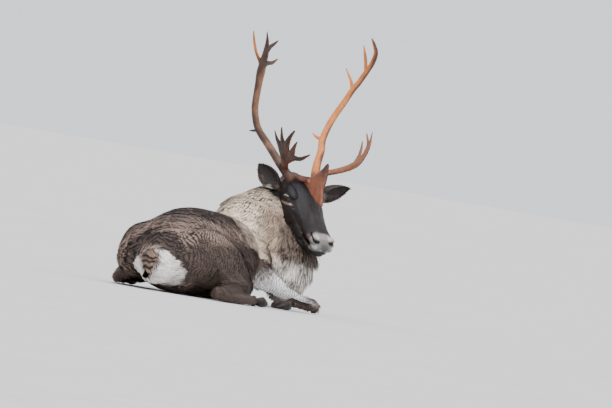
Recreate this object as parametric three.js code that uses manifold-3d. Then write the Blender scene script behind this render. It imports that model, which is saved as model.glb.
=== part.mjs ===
// A bull reindeer that lies on the ground and looks back over its right shoulder, at life size.
// Millimetres, +Z up. While the animal is shaped, X runs forward along the trunk from the tail root,
// Y points to the animal's left and Z is the height above the ground. At the end the whole animal is
// moved so that the middle of its bounding box stands over the origin, with the ground at Z = 0.

import * as THREE from 'three';
import { mergeVertices } from 'three/addons/utils/BufferGeometryUtils.js';
import Module from 'manifold-3d';

const wasm = await Module();
wasm.setup();

// Gap between neighbouring sub-parts
const GAP = 0.3;

// Trunk
const TRUNK_CUTS = [300, 640];

// Head: its crown, where it looks and how its parts lie along it
const POLL = { x: 1026, y: -184, z: 560 };
const HEAD_TURN = THREE.MathUtils.degToRad(-126.4);
const HEAD_PITCH = THREE.MathUtils.degToRad(38.5);
const EYE = { along: 80, left: 82, up: -50, radius: 18 };
const EYE_SLIT = { half: 16, high: 10 };
const LID = { middle: 5, corner: 3 };
const NOSTRIL = { along: 357, left: 48, up: -42, long: 17, deep: 12, high: 10 };

// Antlers
const PEDICLE_SPREAD = 62;

const UP = new THREE.Vector3(0, 0, 1);
const FACING = new THREE.Vector3(Math.cos(HEAD_TURN), Math.sin(HEAD_TURN), 0);
const HEAD_LEFT = new THREE.Vector3(-FACING.y, FACING.x, 0);
const HEAD_ALONG = FACING.clone().multiplyScalar(Math.cos(HEAD_PITCH))
  .addScaledVector(UP, -Math.sin(HEAD_PITCH));
const HEAD_UP = FACING.clone().multiplyScalar(Math.sin(HEAD_PITCH))
  .addScaledVector(UP, Math.cos(HEAD_PITCH));

// Seeded random numbers between -1 and 1
function makeRandom(seed) {
  let state = seed;
  return () => {
    state = (state * 1664525 + 1013904223) % 4294967296;
    return state / 2147483648 - 1;
  };
}

// A point given along, to the left of and above the crown, in the head's own tilted frame
function onHead(along, left, up) {
  return new THREE.Vector3(POLL.x, POLL.y, POLL.z)
    .addScaledVector(HEAD_ALONG, along)
    .addScaledVector(HEAD_LEFT, left)
    .addScaledVector(HEAD_UP, up);
}

// A point beside the crown in a level frame: to the left, towards where the head looks, and up
function onCrown(left, fore, height) {
  return new THREE.Vector3(POLL.x, POLL.y, POLL.z)
    .addScaledVector(HEAD_LEFT, left)
    .addScaledVector(FACING, fore)
    .addScaledVector(UP, height);
}

// A point of one antler: out from its pedicle, forward and up. Side is 1 on the left, -1 on the right.
function onAntler(side, out, fore, height) {
  return onCrown(side * (PEDICLE_SPREAD + out), fore, height);
}

// Solids from vertices and back

function solidFromTriangles(points, triangles) {
  const mesh = new wasm.Mesh({
    numProp: 3,
    vertProperties: new Float32Array(points),
    triVerts: new Uint32Array(triangles),
  });
  return new wasm.Manifold(mesh);
}

function solidFromGeometry(geometry) {
  geometry.deleteAttribute('normal');
  geometry.deleteAttribute('uv');
  const merged = mergeVertices(geometry, 1e-4);
  return solidFromTriangles(merged.attributes.position.array, merged.index.array);
}

function geometryFromSolid(solid) {
  const mesh = solid.getMesh();
  const geometry = new THREE.BufferGeometry();
  geometry.setAttribute('position', new THREE.BufferAttribute(mesh.vertProperties, 3));
  geometry.setIndex(new THREE.BufferAttribute(mesh.triVerts, 1));
  geometry.computeVertexNormals();
  return geometry;
}

function joined(solids) {
  return wasm.Manifold.union(solids);
}

function largestBody(solid) {
  return solid.decompose().reduce((best, body) => (body.volume() > best.volume() ? body : best));
}

// A closed solid through rings of equal point count. A ring that is a single point ends the solid there,
// and any other end ring is closed by a strip across it.
function skinRings(rings) {
  const count = Math.max(...rings.map((ring) => ring.length));
  const points = [];
  const starts = [];
  for (const ring of rings) {
    starts.push(points.length / 3);
    ring.forEach((point) => points.push(point.x, point.y, point.z));
  }
  const triangles = [];
  for (let k = 0; k + 1 < rings.length; k += 1) {
    const [a, b] = [starts[k], starts[k + 1]];
    for (let i = 0; i < count; i += 1) {
      const j = (i + 1) % count;
      if (rings[k].length === 1) triangles.push(a, b + j, b + i);
      else if (rings[k + 1].length === 1) triangles.push(a + i, a + j, b);
      else triangles.push(a + i, a + j, b + j, a + i, b + j, b + i);
    }
  }
  const closeRing = (start, outward) => {
    for (let i = 0; i < count / 2 - 1; i += 1) {
      const [a, b, c, d] = [i, i + 1, count - 2 - i, count - 1 - i].map((n) => start + n);
      const faces = c === b ? [a, b, d] : [a, b, c, a, c, d];
      triangles.push(...(outward ? faces : faces.reverse()));
    }
  };
  if (rings[0].length > 1) closeRing(starts[0], false);
  if (rings[rings.length - 1].length > 1) closeRing(starts[starts.length - 1], true);
  return solidFromTriangles(points, triangles);
}

// The frame of a loft at a share t of its way: centre, directions and half-sizes
function frameAlong(stations, hint) {
  const centres = new THREE.CatmullRomCurve3(stations.map((s) => s.centre));
  const sizes = new THREE.CatmullRomCurve3(
    stations.map((s) => new THREE.Vector3(s.wide, s.above, s.below)),
  );
  return (t) => {
    const along = centres.getTangent(t);
    const side = hint.clone().cross(along).normalize();
    const above = along.clone().cross(side);
    return { centre: centres.getPoint(t), along, side, above, size: sizes.getPoint(t) };
  };
}

// A station of a loft: its centre, half-width and how far it reaches above and below
function station(centre, wide, above, below = above) {
  return { centre, wide, above, below };
}

function place(x, y, z, wide, above, below = above) {
  return station(new THREE.Vector3(x, y, z), wide, above, below);
}

function ringPoint(frame, angle, scale, shift, grow) {
  const reach = Math.sin(angle) > 0 ? frame.size.y : frame.size.z;
  return frame.centre.clone()
    .addScaledVector(frame.along, shift)
    .addScaledVector(frame.side, (frame.size.x * scale + grow) * Math.cos(angle))
    .addScaledVector(frame.above, (reach * scale + grow) * Math.sin(angle));
}

// A tube of oval sections along a curve through its stations, with domed, pointed or flat ends
function loft(stations, options = {}) {
  const { sides = 12, steps = 10, hint = UP, grow = 0, phase = 0 } = options;
  const { start = 'dome', end = 'dome' } = options;
  const domeTurns = sides > 11 ? [0.45, 0.85] : [0.7];
  const frameAt = frameAlong(stations, hint);
  const ring = (frame, scale, shift) => Array.from(
    { length: sides },
    (_, i) => ringPoint(frame, phase + (i / sides) * 2 * Math.PI, scale, shift, grow),
  );
  const domeRings = (frame, direction) => {
    const depth = (frame.size.x + frame.size.y + frame.size.z) / 4;
    const rings = domeTurns.map((turn) => ring(frame, Math.cos(turn), direction * depth * Math.sin(turn)));
    const apex = frame.centre.clone().addScaledVector(frame.along, direction * (depth + grow));
    return [...rings, [apex]];
  };
  const rings = [];
  if (start === 'dome') rings.push(...domeRings(frameAt(0), -1).reverse());
  for (let k = 0; k <= steps; k += 1) {
    const frame = frameAt(k / steps);
    const shift = k === 0 && start === 'flat' ? -grow : k === steps && end === 'flat' ? grow : 0;
    if (k === steps && end === 'point') {
      rings.push([frame.centre.clone().addScaledVector(frame.along, grow)]);
    } else {
      rings.push(ring(frame, 1, shift));
    }
  }
  if (end === 'dome') rings.push(...domeRings(frameAt(1), 1));
  return skinRings(rings);
}

function ellipsoid(centre, radii, axes = [HEAD_ALONG, HEAD_LEFT, HEAD_UP], detail = 10, grow = 0) {
  const geometry = new THREE.SphereGeometry(1, detail, Math.round(detail * 0.7));
  const basis = new THREE.Matrix4().makeBasis(...axes);
  geometry.applyMatrix4(new THREE.Matrix4().makeScale(...radii.map((radius) => radius + grow)));
  geometry.applyMatrix4(basis.setPosition(centre));
  return solidFromGeometry(geometry);
}

function block(from, to) {
  const geometry = new THREE.BoxGeometry(to[0] - from[0], to[1] - from[1], to[2] - from[2]);
  geometry.translate((from[0] + to[0]) / 2, (from[1] + to[1]) / 2, (from[2] + to[2]) / 2);
  return solidFromGeometry(geometry);
}

// Trunk, from the rump to the breast, and the tail

const TRUNK = [
  place(25, 0, 120, 105, 95, 90),
  place(110, 0, 145, 165, 160, 135),
  place(220, 0, 155, 205, 197, 160),
  place(350, 0, 155, 218, 224, 160),
  place(500, 0, 155, 220, 222, 160),
  place(650, 0, 158, 202, 210, 164),
  place(780, 0, 168, 168, 196, 172),
  place(870, -8, 180, 132, 172, 165),
  place(930, -18, 185, 98, 130, 125),
];

function trunk(grow) {
  return loft(TRUNK, { sides: 16, steps: 11, grow });
}

function trunkLength(from, to) {
  return trunk(0).intersect(block([from, -400, -50], [to, 400, 600]));
}

function tail(grow) {
  const stations = [
    place(10, 0, 178, 30, 24),
    place(-38, 0, 168, 31, 20),
    place(-68, -2, 128, 33, 19),
    place(-74, -4, 90, 25, 15),
    place(-70, -5, 62, 8, 6),
  ];
  return loft(stations, { sides: 9, steps: 5, hint: new THREE.Vector3(-1, 0, 1), grow });
}

// Legs. Each is given for the right side with Y negative and mirrored by its side sign.

const RIGHT = { name: 'right', sign: -1 };
const LEFT = { name: 'left', sign: 1 };

const HIND = {
  right: {
    thigh: [[62, 105, 160, 62, 100, 110], [190, 150, 185, 92, 122, 140], [320, 188, 165, 92, 112, 145],
      [425, 218, 132, 62, 78, 105]],
    shank: [[440, 236, 72, 52, 52, 60], [330, 268, 66, 44, 44, 50], [220, 272, 58, 34, 33, 40],
      [128, 268, 54, 27, 27, 34]],
    cannon: [[92, 262, 40, 25, 27, 30], [150, 290, 26, 19, 21, 22], [260, 316, 24, 17, 19, 20],
      [350, 318, 25, 21, 21, 22], [398, 312, 25, 21, 20, 22]],
    foot: { x: 420, y: 310, z: 25, turn: 3 },
  },
  left: {
    thigh: [[58, 122, 138, 80, 92, 112], [175, 143, 168, 92, 120, 130], [310, 174, 154, 90, 110, 134],
      [412, 205, 128, 62, 74, 100]],
    shank: [[430, 222, 70, 52, 50, 60], [330, 238, 62, 44, 42, 50], [230, 228, 56, 36, 35, 40],
      [160, 212, 52, 30, 30, 34]],
    cannon: [[132, 204, 40, 25, 27, 30], [185, 240, 26, 19, 21, 22], [288, 278, 24, 17, 19, 20],
      [372, 296, 25, 21, 21, 22], [418, 300, 25, 21, 20, 22]],
    foot: { x: 440, y: 301, z: 25, turn: 6 },
  },
};

const FORE = {
  right: {
    upperArm: [[868, 88, 225, 62, 85, 90], [818, 138, 180, 60, 78, 80], [776, 170, 135, 47, 60, 62]],
    forearm: [[770, 180, 120, 46, 62, 62], [820, 232, 92, 36, 43, 46], [866, 284, 64, 28, 29, 34],
      [912, 330, 55, 26, 25, 27], [942, 364, 50, 26, 23, 27]],
    cannon: [[950, 372, 32, 23, 24, 26], [900, 372, 27, 17, 18, 20], [830, 352, 32, 17, 18, 20],
      [786, 336, 38, 21, 22, 24], [762, 328, 38, 20, 21, 24]],
    foot: { x: 742, y: 322, z: 30, turn: 196 },
  },
  left: {
    upperArm: [[868, 92, 225, 62, 85, 90], [822, 140, 180, 60, 78, 80], [784, 166, 135, 47, 60, 62]],
    forearm: [[778, 178, 118, 46, 60, 62], [842, 196, 90, 36, 42, 46], [912, 200, 64, 28, 29, 34],
      [972, 192, 55, 26, 25, 27], [1012, 186, 50, 26, 23, 27]],
    cannon: [[1020, 192, 32, 23, 24, 26], [968, 218, 27, 17, 18, 20], [900, 240, 28, 17, 18, 20],
      [852, 246, 30, 21, 22, 24], [826, 246, 30, 20, 21, 24]],
    foot: { x: 804, y: 246, z: 26, turn: 182 },
  },
};

function limb(rows, side, options, grow) {
  const stations = rows.map(([x, y, z, ...sizes]) => place(x, y * side.sign, z, ...sizes));
  return loft(stations, { sides: 8, steps: 5, grow, ...options });
}

const TOE = { length: 84, spread: 21, wide: 19, high: 23, rise: 25 };

// The direction in which a foot points, and the one across it
function footDirections(foot, side) {
  const turn = THREE.MathUtils.degToRad(foot.turn) * side.sign;
  const ahead = new THREE.Vector3(Math.cos(turn), Math.sin(turn), 0);
  return { ahead, across: UP.clone().cross(ahead) };
}

// One of the two crescent toes of a foot
function toe(foot, side, edge, grow) {
  const { ahead, across } = footDirections(foot, side);
  const heel = new THREE.Vector3(foot.x, foot.y * side.sign, TOE.rise);
  const shape = [[0, 0.75, 0.8, 0.85], [0.3, 1, 1, 1], [0.65, 1.02, 0.85, 0.62], [1, 0.35, 0.45, 0.2]];
  const stations = shape.map(([reach, out, wide, high]) => station(
    heel.clone()
      .addScaledVector(ahead, reach * TOE.length)
      .addScaledVector(across, edge * TOE.spread * out)
      .addScaledVector(UP, (high - 1) * TOE.high * 0.9),
    TOE.wide * wide,
    TOE.high * high,
    TOE.rise * high,
  ));
  return loft(stations, { sides: 7, steps: 3, grow });
}

// The small claw behind and above one toe
function dewclaw(foot, side, edge, grow) {
  const { ahead, across } = footDirections(foot, side);
  const root = new THREE.Vector3(foot.x, foot.y * side.sign, foot.z + 2)
    .addScaledVector(ahead, -34)
    .addScaledVector(across, edge * 20);
  const tip = root.clone().addScaledVector(ahead, 20).addScaledVector(across, edge * 13);
  return loft([station(root, 9, 11), station(tip, 6, 8)], { sides: 4, steps: 1, grow });
}

// Neck and throat mane

const NECK = [
  place(840, -10, 232, 112, 160, 134),
  place(905, -30, 280, 114, 170, 148),
  place(975, -52, 340, 104, 136, 134),
  place(1040, -76, 410, 84, 100, 96),
  place(1076, -104, 476, 66, 72, 70),
];

const THROAT = [
  place(985, -200, 150, 76, 74, 82),
  place(985, -200, 205, 92, 88, 92),
  place(998, -196, 270, 86, 78, 86),
  place(1018, -178, 335, 68, 50, 68),
  place(1036, -158, 385, 48, 30, 46),
];

// How the locks of each mane stand: rows from head to breast, locks around, how far they rise off the
// core, how far they slip round it towards its underside, and which side another mane covers, in degrees
const NECK_LOCKS = {
  rows: 5, first: 0.96, last: 0.2, around: 11, rise: 25, slip: 0.5, covered: [185, 255], seed: 11,
};
const THROAT_LOCKS = {
  rows: 4, first: 0.96, last: 0.34, around: 9, rise: 24, slip: 0, covered: [265, 345], seed: 23,
};

const LOCK_SIZES = [
  { length: 130, wide: 30, thick: 12 },
  { length: 150, wide: 34, thick: 13 },
  { length: 170, wide: 37, thick: 14 },
];

// Shares of a lock from root to tip: its way along, its rise, width and thickness
const LOCK_SHAPE = [
  { way: 0, rise: -0.7, wide: 0.7, thick: 0.8 },
  { way: 0.3, rise: 0.5, wide: 1, thick: 1 },
  { way: 0.66, rise: 1, wide: 0.8, thick: 0.8 },
  { way: 1, rise: 0.82, wide: 0.2, thick: 0.3 },
];

const LOCK_JITTER = { way: 0.03, turn: 0.1, sway: 0.16, rise: 4 };

// A point off the surface of a core, also past the end where it starts
function overCore(core, t, angle, rise) {
  const frame = core.frameAt(Math.max(t, 0));
  return { frame, point: ringPoint(frame, angle, 1, Math.min(t, 0) * core.length, rise) };
}

// One flat tapered lock that rises out of a core, bends and lies along it
function lock(core, t, angle, size, sway, rise, grow) {
  const reach = size.length / core.length;
  const rows = LOCK_SHAPE.map((shape) => {
    const turn = angle + sway * shape.way ** 2;
    return { shape, ...overCore(core, t - reach * shape.way, turn, rise * shape.rise) };
  });
  const normal = rows[1].point.clone().sub(rows[1].frame.centre).normalize();
  const stations = rows.map(
    ({ shape, point }) => station(point, size.wide * shape.wide, size.thick * shape.thick),
  );
  const ridge = { sides: 3, phase: Math.PI / 2 };
  return loft(stations, { ...ridge, steps: 3, hint: normal, start: 'flat', end: 'point', grow });
}

// Staggered rows of locks, no two quite alike, that overlap towards the start of a core
function locks(stations, hint, plan, grow) {
  const random = makeRandom(plan.seed);
  const centres = new THREE.CatmullRomCurve3(stations.map((s) => s.centre));
  const core = { frameAt: frameAlong(stations, hint), length: centres.getLength() };
  const solids = [];
  for (let row = 0; row < plan.rows; row += 1) {
    const t = THREE.MathUtils.lerp(plan.first, plan.last, row / (plan.rows - 1));
    for (let i = 0; i < plan.around; i += 1) {
      const angle = ((i + (row % 2) / 2) / plan.around) * 2 * Math.PI + random() * LOCK_JITTER.turn;
      const size = LOCK_SIZES[(i * 2 + row) % LOCK_SIZES.length];
      const sway = -Math.cos(angle) * plan.slip + random() * LOCK_JITTER.sway;
      const rise = plan.rise + random() * LOCK_JITTER.rise;
      const start = t + random() * LOCK_JITTER.way;
      const [from, to] = plan.covered.map(THREE.MathUtils.degToRad);
      if (angle < from || angle > to) solids.push(lock(core, start, angle, size, sway, rise, grow));
    }
  }
  return solids;
}

function neck(grow) {
  const core = loft(NECK, { sides: 12, steps: 6, grow });
  return joined([core, ...locks(NECK, UP, NECK_LOCKS, grow)]);
}

function throatMane(grow) {
  const core = loft(THROAT, { sides: 11, steps: 4, hint: FACING, grow });
  return joined([core, ...locks(THROAT, FACING, THROAT_LOCKS, grow)]);
}

// Head, jaw, ears and eyes

function headStation(along, up, wide, above, below) {
  return station(onHead(along, 0, up), wide, above, below);
}

const SKULL = [
  headStation(-58, -86, 56, 62, 56),
  headStation(-20, -85, 78, 84, 78),
  headStation(40, -82, 90, 88, 92),
  headStation(90, -75, 92, 80, 92),
  headStation(145, -68, 80, 68, 82),
  headStation(205, -62, 66, 55, 64),
  headStation(262, -57, 59, 43, 44),
  headStation(312, -51, 59, 33, 36),
  headStation(352, -50, 55, 25, 30),
  headStation(372, -54, 42, 17, 19),
];

const JAW = [
  headStation(60, -138, 60, 30, 40),
  headStation(120, -132, 62, 30, 38),
  headStation(190, -125, 62, 30, 33),
  headStation(250, -119, 60, 28, 29),
  headStation(302, -112, 53, 24, 25),
  headStation(342, -95, 41, 17, 22),
  headStation(364, -85, 28, 11, 14),
];

// Rolls of the lips, from the corner of the mouth to the middle: along, aside, up and radius
const UPPER_LIP = [[258, 43, -94, 5], [318, 50, -83, 8], [358, 44, -74, 8.5], [380, 22, -68, 8.5],
  [386, 0, -67, 8.5]];
const LOWER_LIP = [[252, 38, -103, 4], [314, 45, -96, 6], [350, 37, -89, 7], [368, 18, -85, 7],
  [373, 0, -84, 7]];

function lip(rows, grow) {
  const half = (sign) => rows.map(
    ([along, left, up, radius]) => station(onHead(along, left * sign, up), radius, radius),
  );
  const stations = [...half(-1), ...half(1).slice(0, -1).reverse()];
  return loft(stations, { sides: 5, steps: 10, hint: HEAD_UP, grow });
}

function skull(grow) {
  return loft(SKULL, { sides: 16, steps: 11, hint: HEAD_UP, grow });
}

function jaw(grow) {
  return loft(JAW, { sides: 10, steps: 6, hint: HEAD_UP, grow }).add(lip(LOWER_LIP, grow));
}

// The hollow of one nostril
function nostril(side, grow) {
  const centre = onHead(NOSTRIL.along, side.sign * NOSTRIL.left, NOSTRIL.up);
  return ellipsoid(centre, [NOSTRIL.long, NOSTRIL.deep, NOSTRIL.high], undefined, 8, -grow);
}

function eyeCentre(sign) {
  return onHead(EYE.along, sign * EYE.left, EYE.up);
}

function eye(side, grow) {
  const radii = [EYE.radius, EYE.radius, EYE.radius];
  return ellipsoid(eyeCentre(side.sign), radii, [HEAD_ALONG, HEAD_LEFT, HEAD_UP], 10, grow);
}

// One lid: a roll of skin over the ball, from the front corner of the eye to the back one. Edge is 1 for
// the upper lid and -1 for the lower one.
function lid(side, edge, grow) {
  const stations = [0, 45, 90, 135, 180].map((degrees) => {
    const turn = THREE.MathUtils.degToRad(degrees);
    const fore = EYE_SLIT.half * Math.cos(turn);
    const rise = EYE_SLIT.high * Math.sin(turn) * edge;
    const out = Math.sqrt(EYE.radius ** 2 - fore ** 2 - rise ** 2);
    const radius = LID.corner + (LID.middle - LID.corner) * Math.sin(turn);
    const point = eyeCentre(side.sign)
      .addScaledVector(HEAD_ALONG, fore)
      .addScaledVector(HEAD_UP, rise)
      .addScaledVector(HEAD_LEFT, side.sign * out);
    return station(point, radius, radius);
  });
  return loft(stations, { sides: 5, steps: 6, hint: HEAD_LEFT, grow });
}

// The bony stump that carries one antler
function pedicle(side, grow) {
  const stations = [
    station(onHead(2, side.sign * 54, -44), 31, 33),
    station(onHead(2, side.sign * 60, -14), 22, 23),
  ];
  return loft(stations, { sides: 9, steps: 2, hint: FACING, grow });
}

function head(grow) {
  const sides = [RIGHT, LEFT];
  const rolls = sides.flatMap((side) => [lid(side, 1, grow), lid(side, -1, grow), pedicle(side, grow)]);
  const hollows = sides.map((side) => nostril(side, grow));
  return joined([skull(grow), lip(UPPER_LIP, grow), ...rolls]).subtract(joined(hollows));
}

const EAR_SHAPE = [
  { t: -0.1, radius: 16, span: 300 },
  { t: 0.1, radius: 27, span: 265 },
  { t: 0.3, radius: 37, span: 220 },
  { t: 0.52, radius: 38, span: 190 },
  { t: 0.74, radius: 30, span: 170 },
  { t: 0.91, radius: 16, span: 150 },
  { t: 1, radius: 5, span: 130 },
];

const EARS = {
  right: {
    root: onCrown(-95, -38, -46), tip: onCrown(-178, -80, 33), opens: [0.75, 0.55, -0.25], fuller: 1.1,
  },
  left: {
    root: onCrown(90, -22, -54), tip: onCrown(214, 42, -6), opens: [0.8, 0.25, -0.55], fuller: 1.2,
  },
};

// A leaf-shaped cup: its section is a C that opens towards where the ear listens
function ear(side, grow) {
  const { root, tip, opens, fuller } = EARS[side.name];
  const along = tip.clone().sub(root).normalize();
  const open = FACING.clone().multiplyScalar(opens[0])
    .addScaledVector(HEAD_LEFT, side.sign * opens[1])
    .addScaledVector(UP, opens[2]);
  open.addScaledVector(along, -open.dot(along)).normalize();
  const across = along.clone().cross(open);
  const length = tip.distanceTo(root);
  const points = 7;
  const rings = EAR_SHAPE.map(({ t, radius: plain, span }) => {
    const radius = plain * fuller;
    const centre = root.clone().addScaledVector(along, t * length);
    const arcPoint = (share, reach) => {
      const angle = THREE.MathUtils.degToRad(180 + (share - 0.5) * span);
      return centre.clone()
        .addScaledVector(open, reach * Math.cos(angle) * 0.8 + radius * 0.35)
        .addScaledVector(across, reach * Math.sin(angle));
    };
    const thick = 2.5 + radius * 0.09;
    const shares = Array.from({ length: points }, (_, i) => i / (points - 1));
    return [
      ...shares.map((share) => arcPoint(share, radius + grow)),
      ...shares.reverse().map((share) => arcPoint(share, radius - thick - grow)),
    ];
  });
  return skinRings(rings);
}

// Antlers

const BEAMS = {
  right: [[2, 6, -4, 22], [17, -22, 22, 20], [35, -50, 52, 18], [57, -85, 95, 17], [84, -115, 137, 16],
    [112, -135, 176, 15.5], [129, -143, 215, 15], [147, -140, 275, 15], [169, -105, 369, 16],
    [185, -76, 425, 19]],
  left: [[2, 6, -4, 22], [12, -24, 30, 20], [28, -50, 72, 17.5], [55, -80, 129, 16], [73, -113, 178, 15.5],
    [98, -130, 231, 14.5], [122, -132, 283, 14], [151, -115, 353, 13.5], [166, -92, 407, 13],
    [180, -72, 445, 12.5]],
};

// Height of the cut between an antler's base and its long beam
const BASE_CUT = { right: 100, left: 100 };

function beamStations(side, rows) {
  return rows.map(([out, fore, height, radius]) => station(
    onAntler(side.sign, out, fore, height),
    radius,
    radius * 0.92,
  ));
}

// A tine from a few points, each with its half-width across the palm, that ends in a blunt tip
function tine(side, rows, options = {}) {
  const { thin = 0.8, hint = UP, sides = 6, steps = 4, grow = 0 } = options;
  const stations = rows.map(([out, fore, height, wide]) => station(
    onAntler(side.sign, out, fore, height),
    wide,
    wide * thin,
  ));
  return loft(stations, { sides, steps, hint, start: 'flat', grow });
}

function beam(side, grow) {
  const stations = beamStations(side, BEAMS[side.name]);
  return loft(stations, { sides: 8, steps: 15, hint: FACING, end: 'flat', grow });
}

function belowHeight(height) {
  return block([-500, -1500, -50], [2500, 1500, POLL.z + height - GAP / 2]);
}

function aboveHeight(height) {
  return block([-500, -1500, POLL.z + height + GAP / 2], [2500, 1500, 2000]);
}

// Direction across the palm of an antler's branch, from its out, fore and up shares
function palmNormal(side, out, fore, up) {
  return HEAD_LEFT.clone().multiplyScalar(side.sign * out)
    .addScaledVector(FACING, fore)
    .addScaledVector(UP, up)
    .normalize();
}

function crownRight(grow) {
  const hint = palmNormal(RIGHT, 0.85, -0.2, -0.3);
  const flat = { hint, thin: 0.5, sides: 5, grow };
  return joined([
    tine(RIGHT, [[185, -76, 425, 19], [197, -50, 462, 24], [212, -16, 515, 20], [226, 2, 560, 11],
      [239, 10, 594, 4.5]], { ...flat, steps: 7 }),
    tine(RIGHT, [[200, -62, 450, 11], [231, -62, 498, 9], [254, -55, 543, 8], [275, -41, 587, 4]], flat),
    tine(RIGHT, [[212, -18, 510, 13], [224, 30, 533, 10], [231, 68, 548, 8], [235, 106, 566, 4]], flat),
    tine(RIGHT, [[196, -55, 450, 14], [204, -2, 466, 10], [212, 50, 470, 8], [221, 101, 488, 4]], flat),
  ]);
}

function crownLeft(grow) {
  const hint = palmNormal(LEFT, 0.85, -0.2, -0.3);
  const flat = { hint, thin: 0.75, grow };
  return joined([
    tine(LEFT, [[180, -72, 445, 12.5], [194, -42, 500, 13], [195, -10, 542, 12], [184, 20, 583, 10],
      [155, 45, 615, 7.5], [124, 68, 638, 4]], { ...flat, steps: 9 }),
    tine(LEFT, [[192, -46, 498, 9], [184, -50, 535, 8], [175, -54, 572, 7], [167, -59, 603, 4]], flat),
  ]);
}

function bezRight(grow) {
  const hint = palmNormal(RIGHT, -0.75, -0.08, 0.66);
  const flat = { hint, thin: 0.36, sides: 5, grow };
  const long = { ...flat, steps: 7 };
  const stem = [[20, -30, 34, 22], [58, 30, 60, 22]];
  return joined([
    tine(RIGHT, [...stem, [104, 76, 108, 27], [136, 68, 150, 14], [150, 61, 183, 5]], long),
    tine(RIGHT, [...stem, [104, 92, 110, 25], [136, 104, 160, 12], [149, 110, 203, 5]], long),
    tine(RIGHT, [[84, 72, 88, 22], [120, 125, 132, 18], [128, 155, 167, 12], [126, 178, 195, 6]], flat),
    tine(RIGHT, [[74, 60, 78, 20], [95, 135, 102, 18], [106, 165, 128, 11], [108, 184, 152, 5]], flat),
    tine(RIGHT, [[62, 42, 66, 18], [82, 130, 84, 16], [80, 190, 86, 11], [67, 236, 107, 5]], flat),
  ]);
}

function bezLeft(grow) {
  const hint = palmNormal(LEFT, -0.75, -0.08, 0.66);
  const flat = { hint, thin: 0.55, grow };
  return joined([
    tine(LEFT, [[14, -30, 28, 19], [41, 42, 47, 18], [79, 100, 73, 20], [100, 150, 103, 23],
      [112, 180, 144, 17], [118, 198, 188, 11], [118, 206, 244, 4]], { ...flat, steps: 9 }),
    tine(LEFT, [[112, 184, 156, 11], [118, 186, 196, 8], [112, 173, 234, 4]], flat),
    tine(LEFT, [[94, 138, 94, 14], [111, 140, 136, 11], [121, 134, 170, 8], [123, 130, 199, 4]], flat),
  ]);
}

function upperTine() {
  return tine(LEFT, [[166, -92, 405, 9], [163, -98, 428, 8], [157, -105, 452, 7.5], [140, -126, 493, 4]]);
}

function backTine(side) {
  const rows = side === RIGHT
    ? [[114, -133, 176, 10], [124, -155, 170, 7.5], [133, -173, 167, 4]]
    : [[72, -115, 180, 10], [55, -132, 186, 7.5], [42, -147, 196, 4]];
  return tine(side, rows, { steps: 2 });
}

// Brow tines: the left one spreads into an upright blade over the middle of the face
const BLADE = [[14, -14], [60, -40], [112, -74], [177, -100], [184, -62], [175, -28], [188, 12], [184, 84],
  [150, 62], [104, 34], [56, 15], [12, 10]];
const BLADE_THICKNESS = 6;
const BLADE_EDGE = 3.5;

function browLeft() {
  const outline = new THREE.Shape(BLADE.map(([fore, height]) => new THREE.Vector2(fore, height)));
  const geometry = new THREE.ExtrudeGeometry(outline, {
    depth: BLADE_THICKNESS,
    bevelEnabled: true,
    bevelThickness: BLADE_EDGE,
    bevelSize: BLADE_EDGE,
    bevelOffset: -BLADE_EDGE,
    bevelSegments: 1,
  });
  geometry.translate(0, 0, -BLADE_THICKNESS / 2);
  const across = FACING.clone().cross(UP);
  const basis = new THREE.Matrix4().makeBasis(FACING, UP, across);
  geometry.applyMatrix4(basis.setPosition(onCrown(4, 0, 0)));
  const arm = tine(LEFT, [[-2, 4, 16, 22], [-26, 20, 6, 16], [-48, 34, 2, 15], [-58, 54, -4, 12]]);
  return solidFromGeometry(geometry).add(arm);
}

function browRight() {
  return tine(RIGHT, [[-2, 4, 18, 22], [-24, 20, 6, 15], [-44, 34, 4, 13], [-64, 46, 8, 14]], { steps: 6 });
}

// Materials

const COAT_BROWN = { color: 0x5a4a44, roughness: 0.9 };
const COAT_GREY = { color: 0x8a7f7a, roughness: 0.9 };
const MANE_CREAM = { color: 0xc9b49c, roughness: 0.9 };
const BEARD_WHITE = { color: 0xcfc9c2, roughness: 0.9 };
const FACE_DARK = { color: 0x2f2b2d, roughness: 0.85 };
const LEG_DARK = { color: 0x3a2e2c, roughness: 0.9 };
const HORN_BLACK = { color: 0x1d1a19, roughness: 0.5 };
const EYE_BLACK = { color: 0x120c0a, roughness: 0.08 };
const ANTLER_TAN = { color: 0xb9794c, roughness: 0.6 };
const ANTLER_RED = { color: 0x7a4532, roughness: 0.6 };

// Every sub-part in order. Each one gives way, by the gap, to all that come before it.

const pieces = [];

function addPiece(name, finish, shape, cutter = shape) {
  pieces.push({ name, finish, shape, cutter });
}

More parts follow.
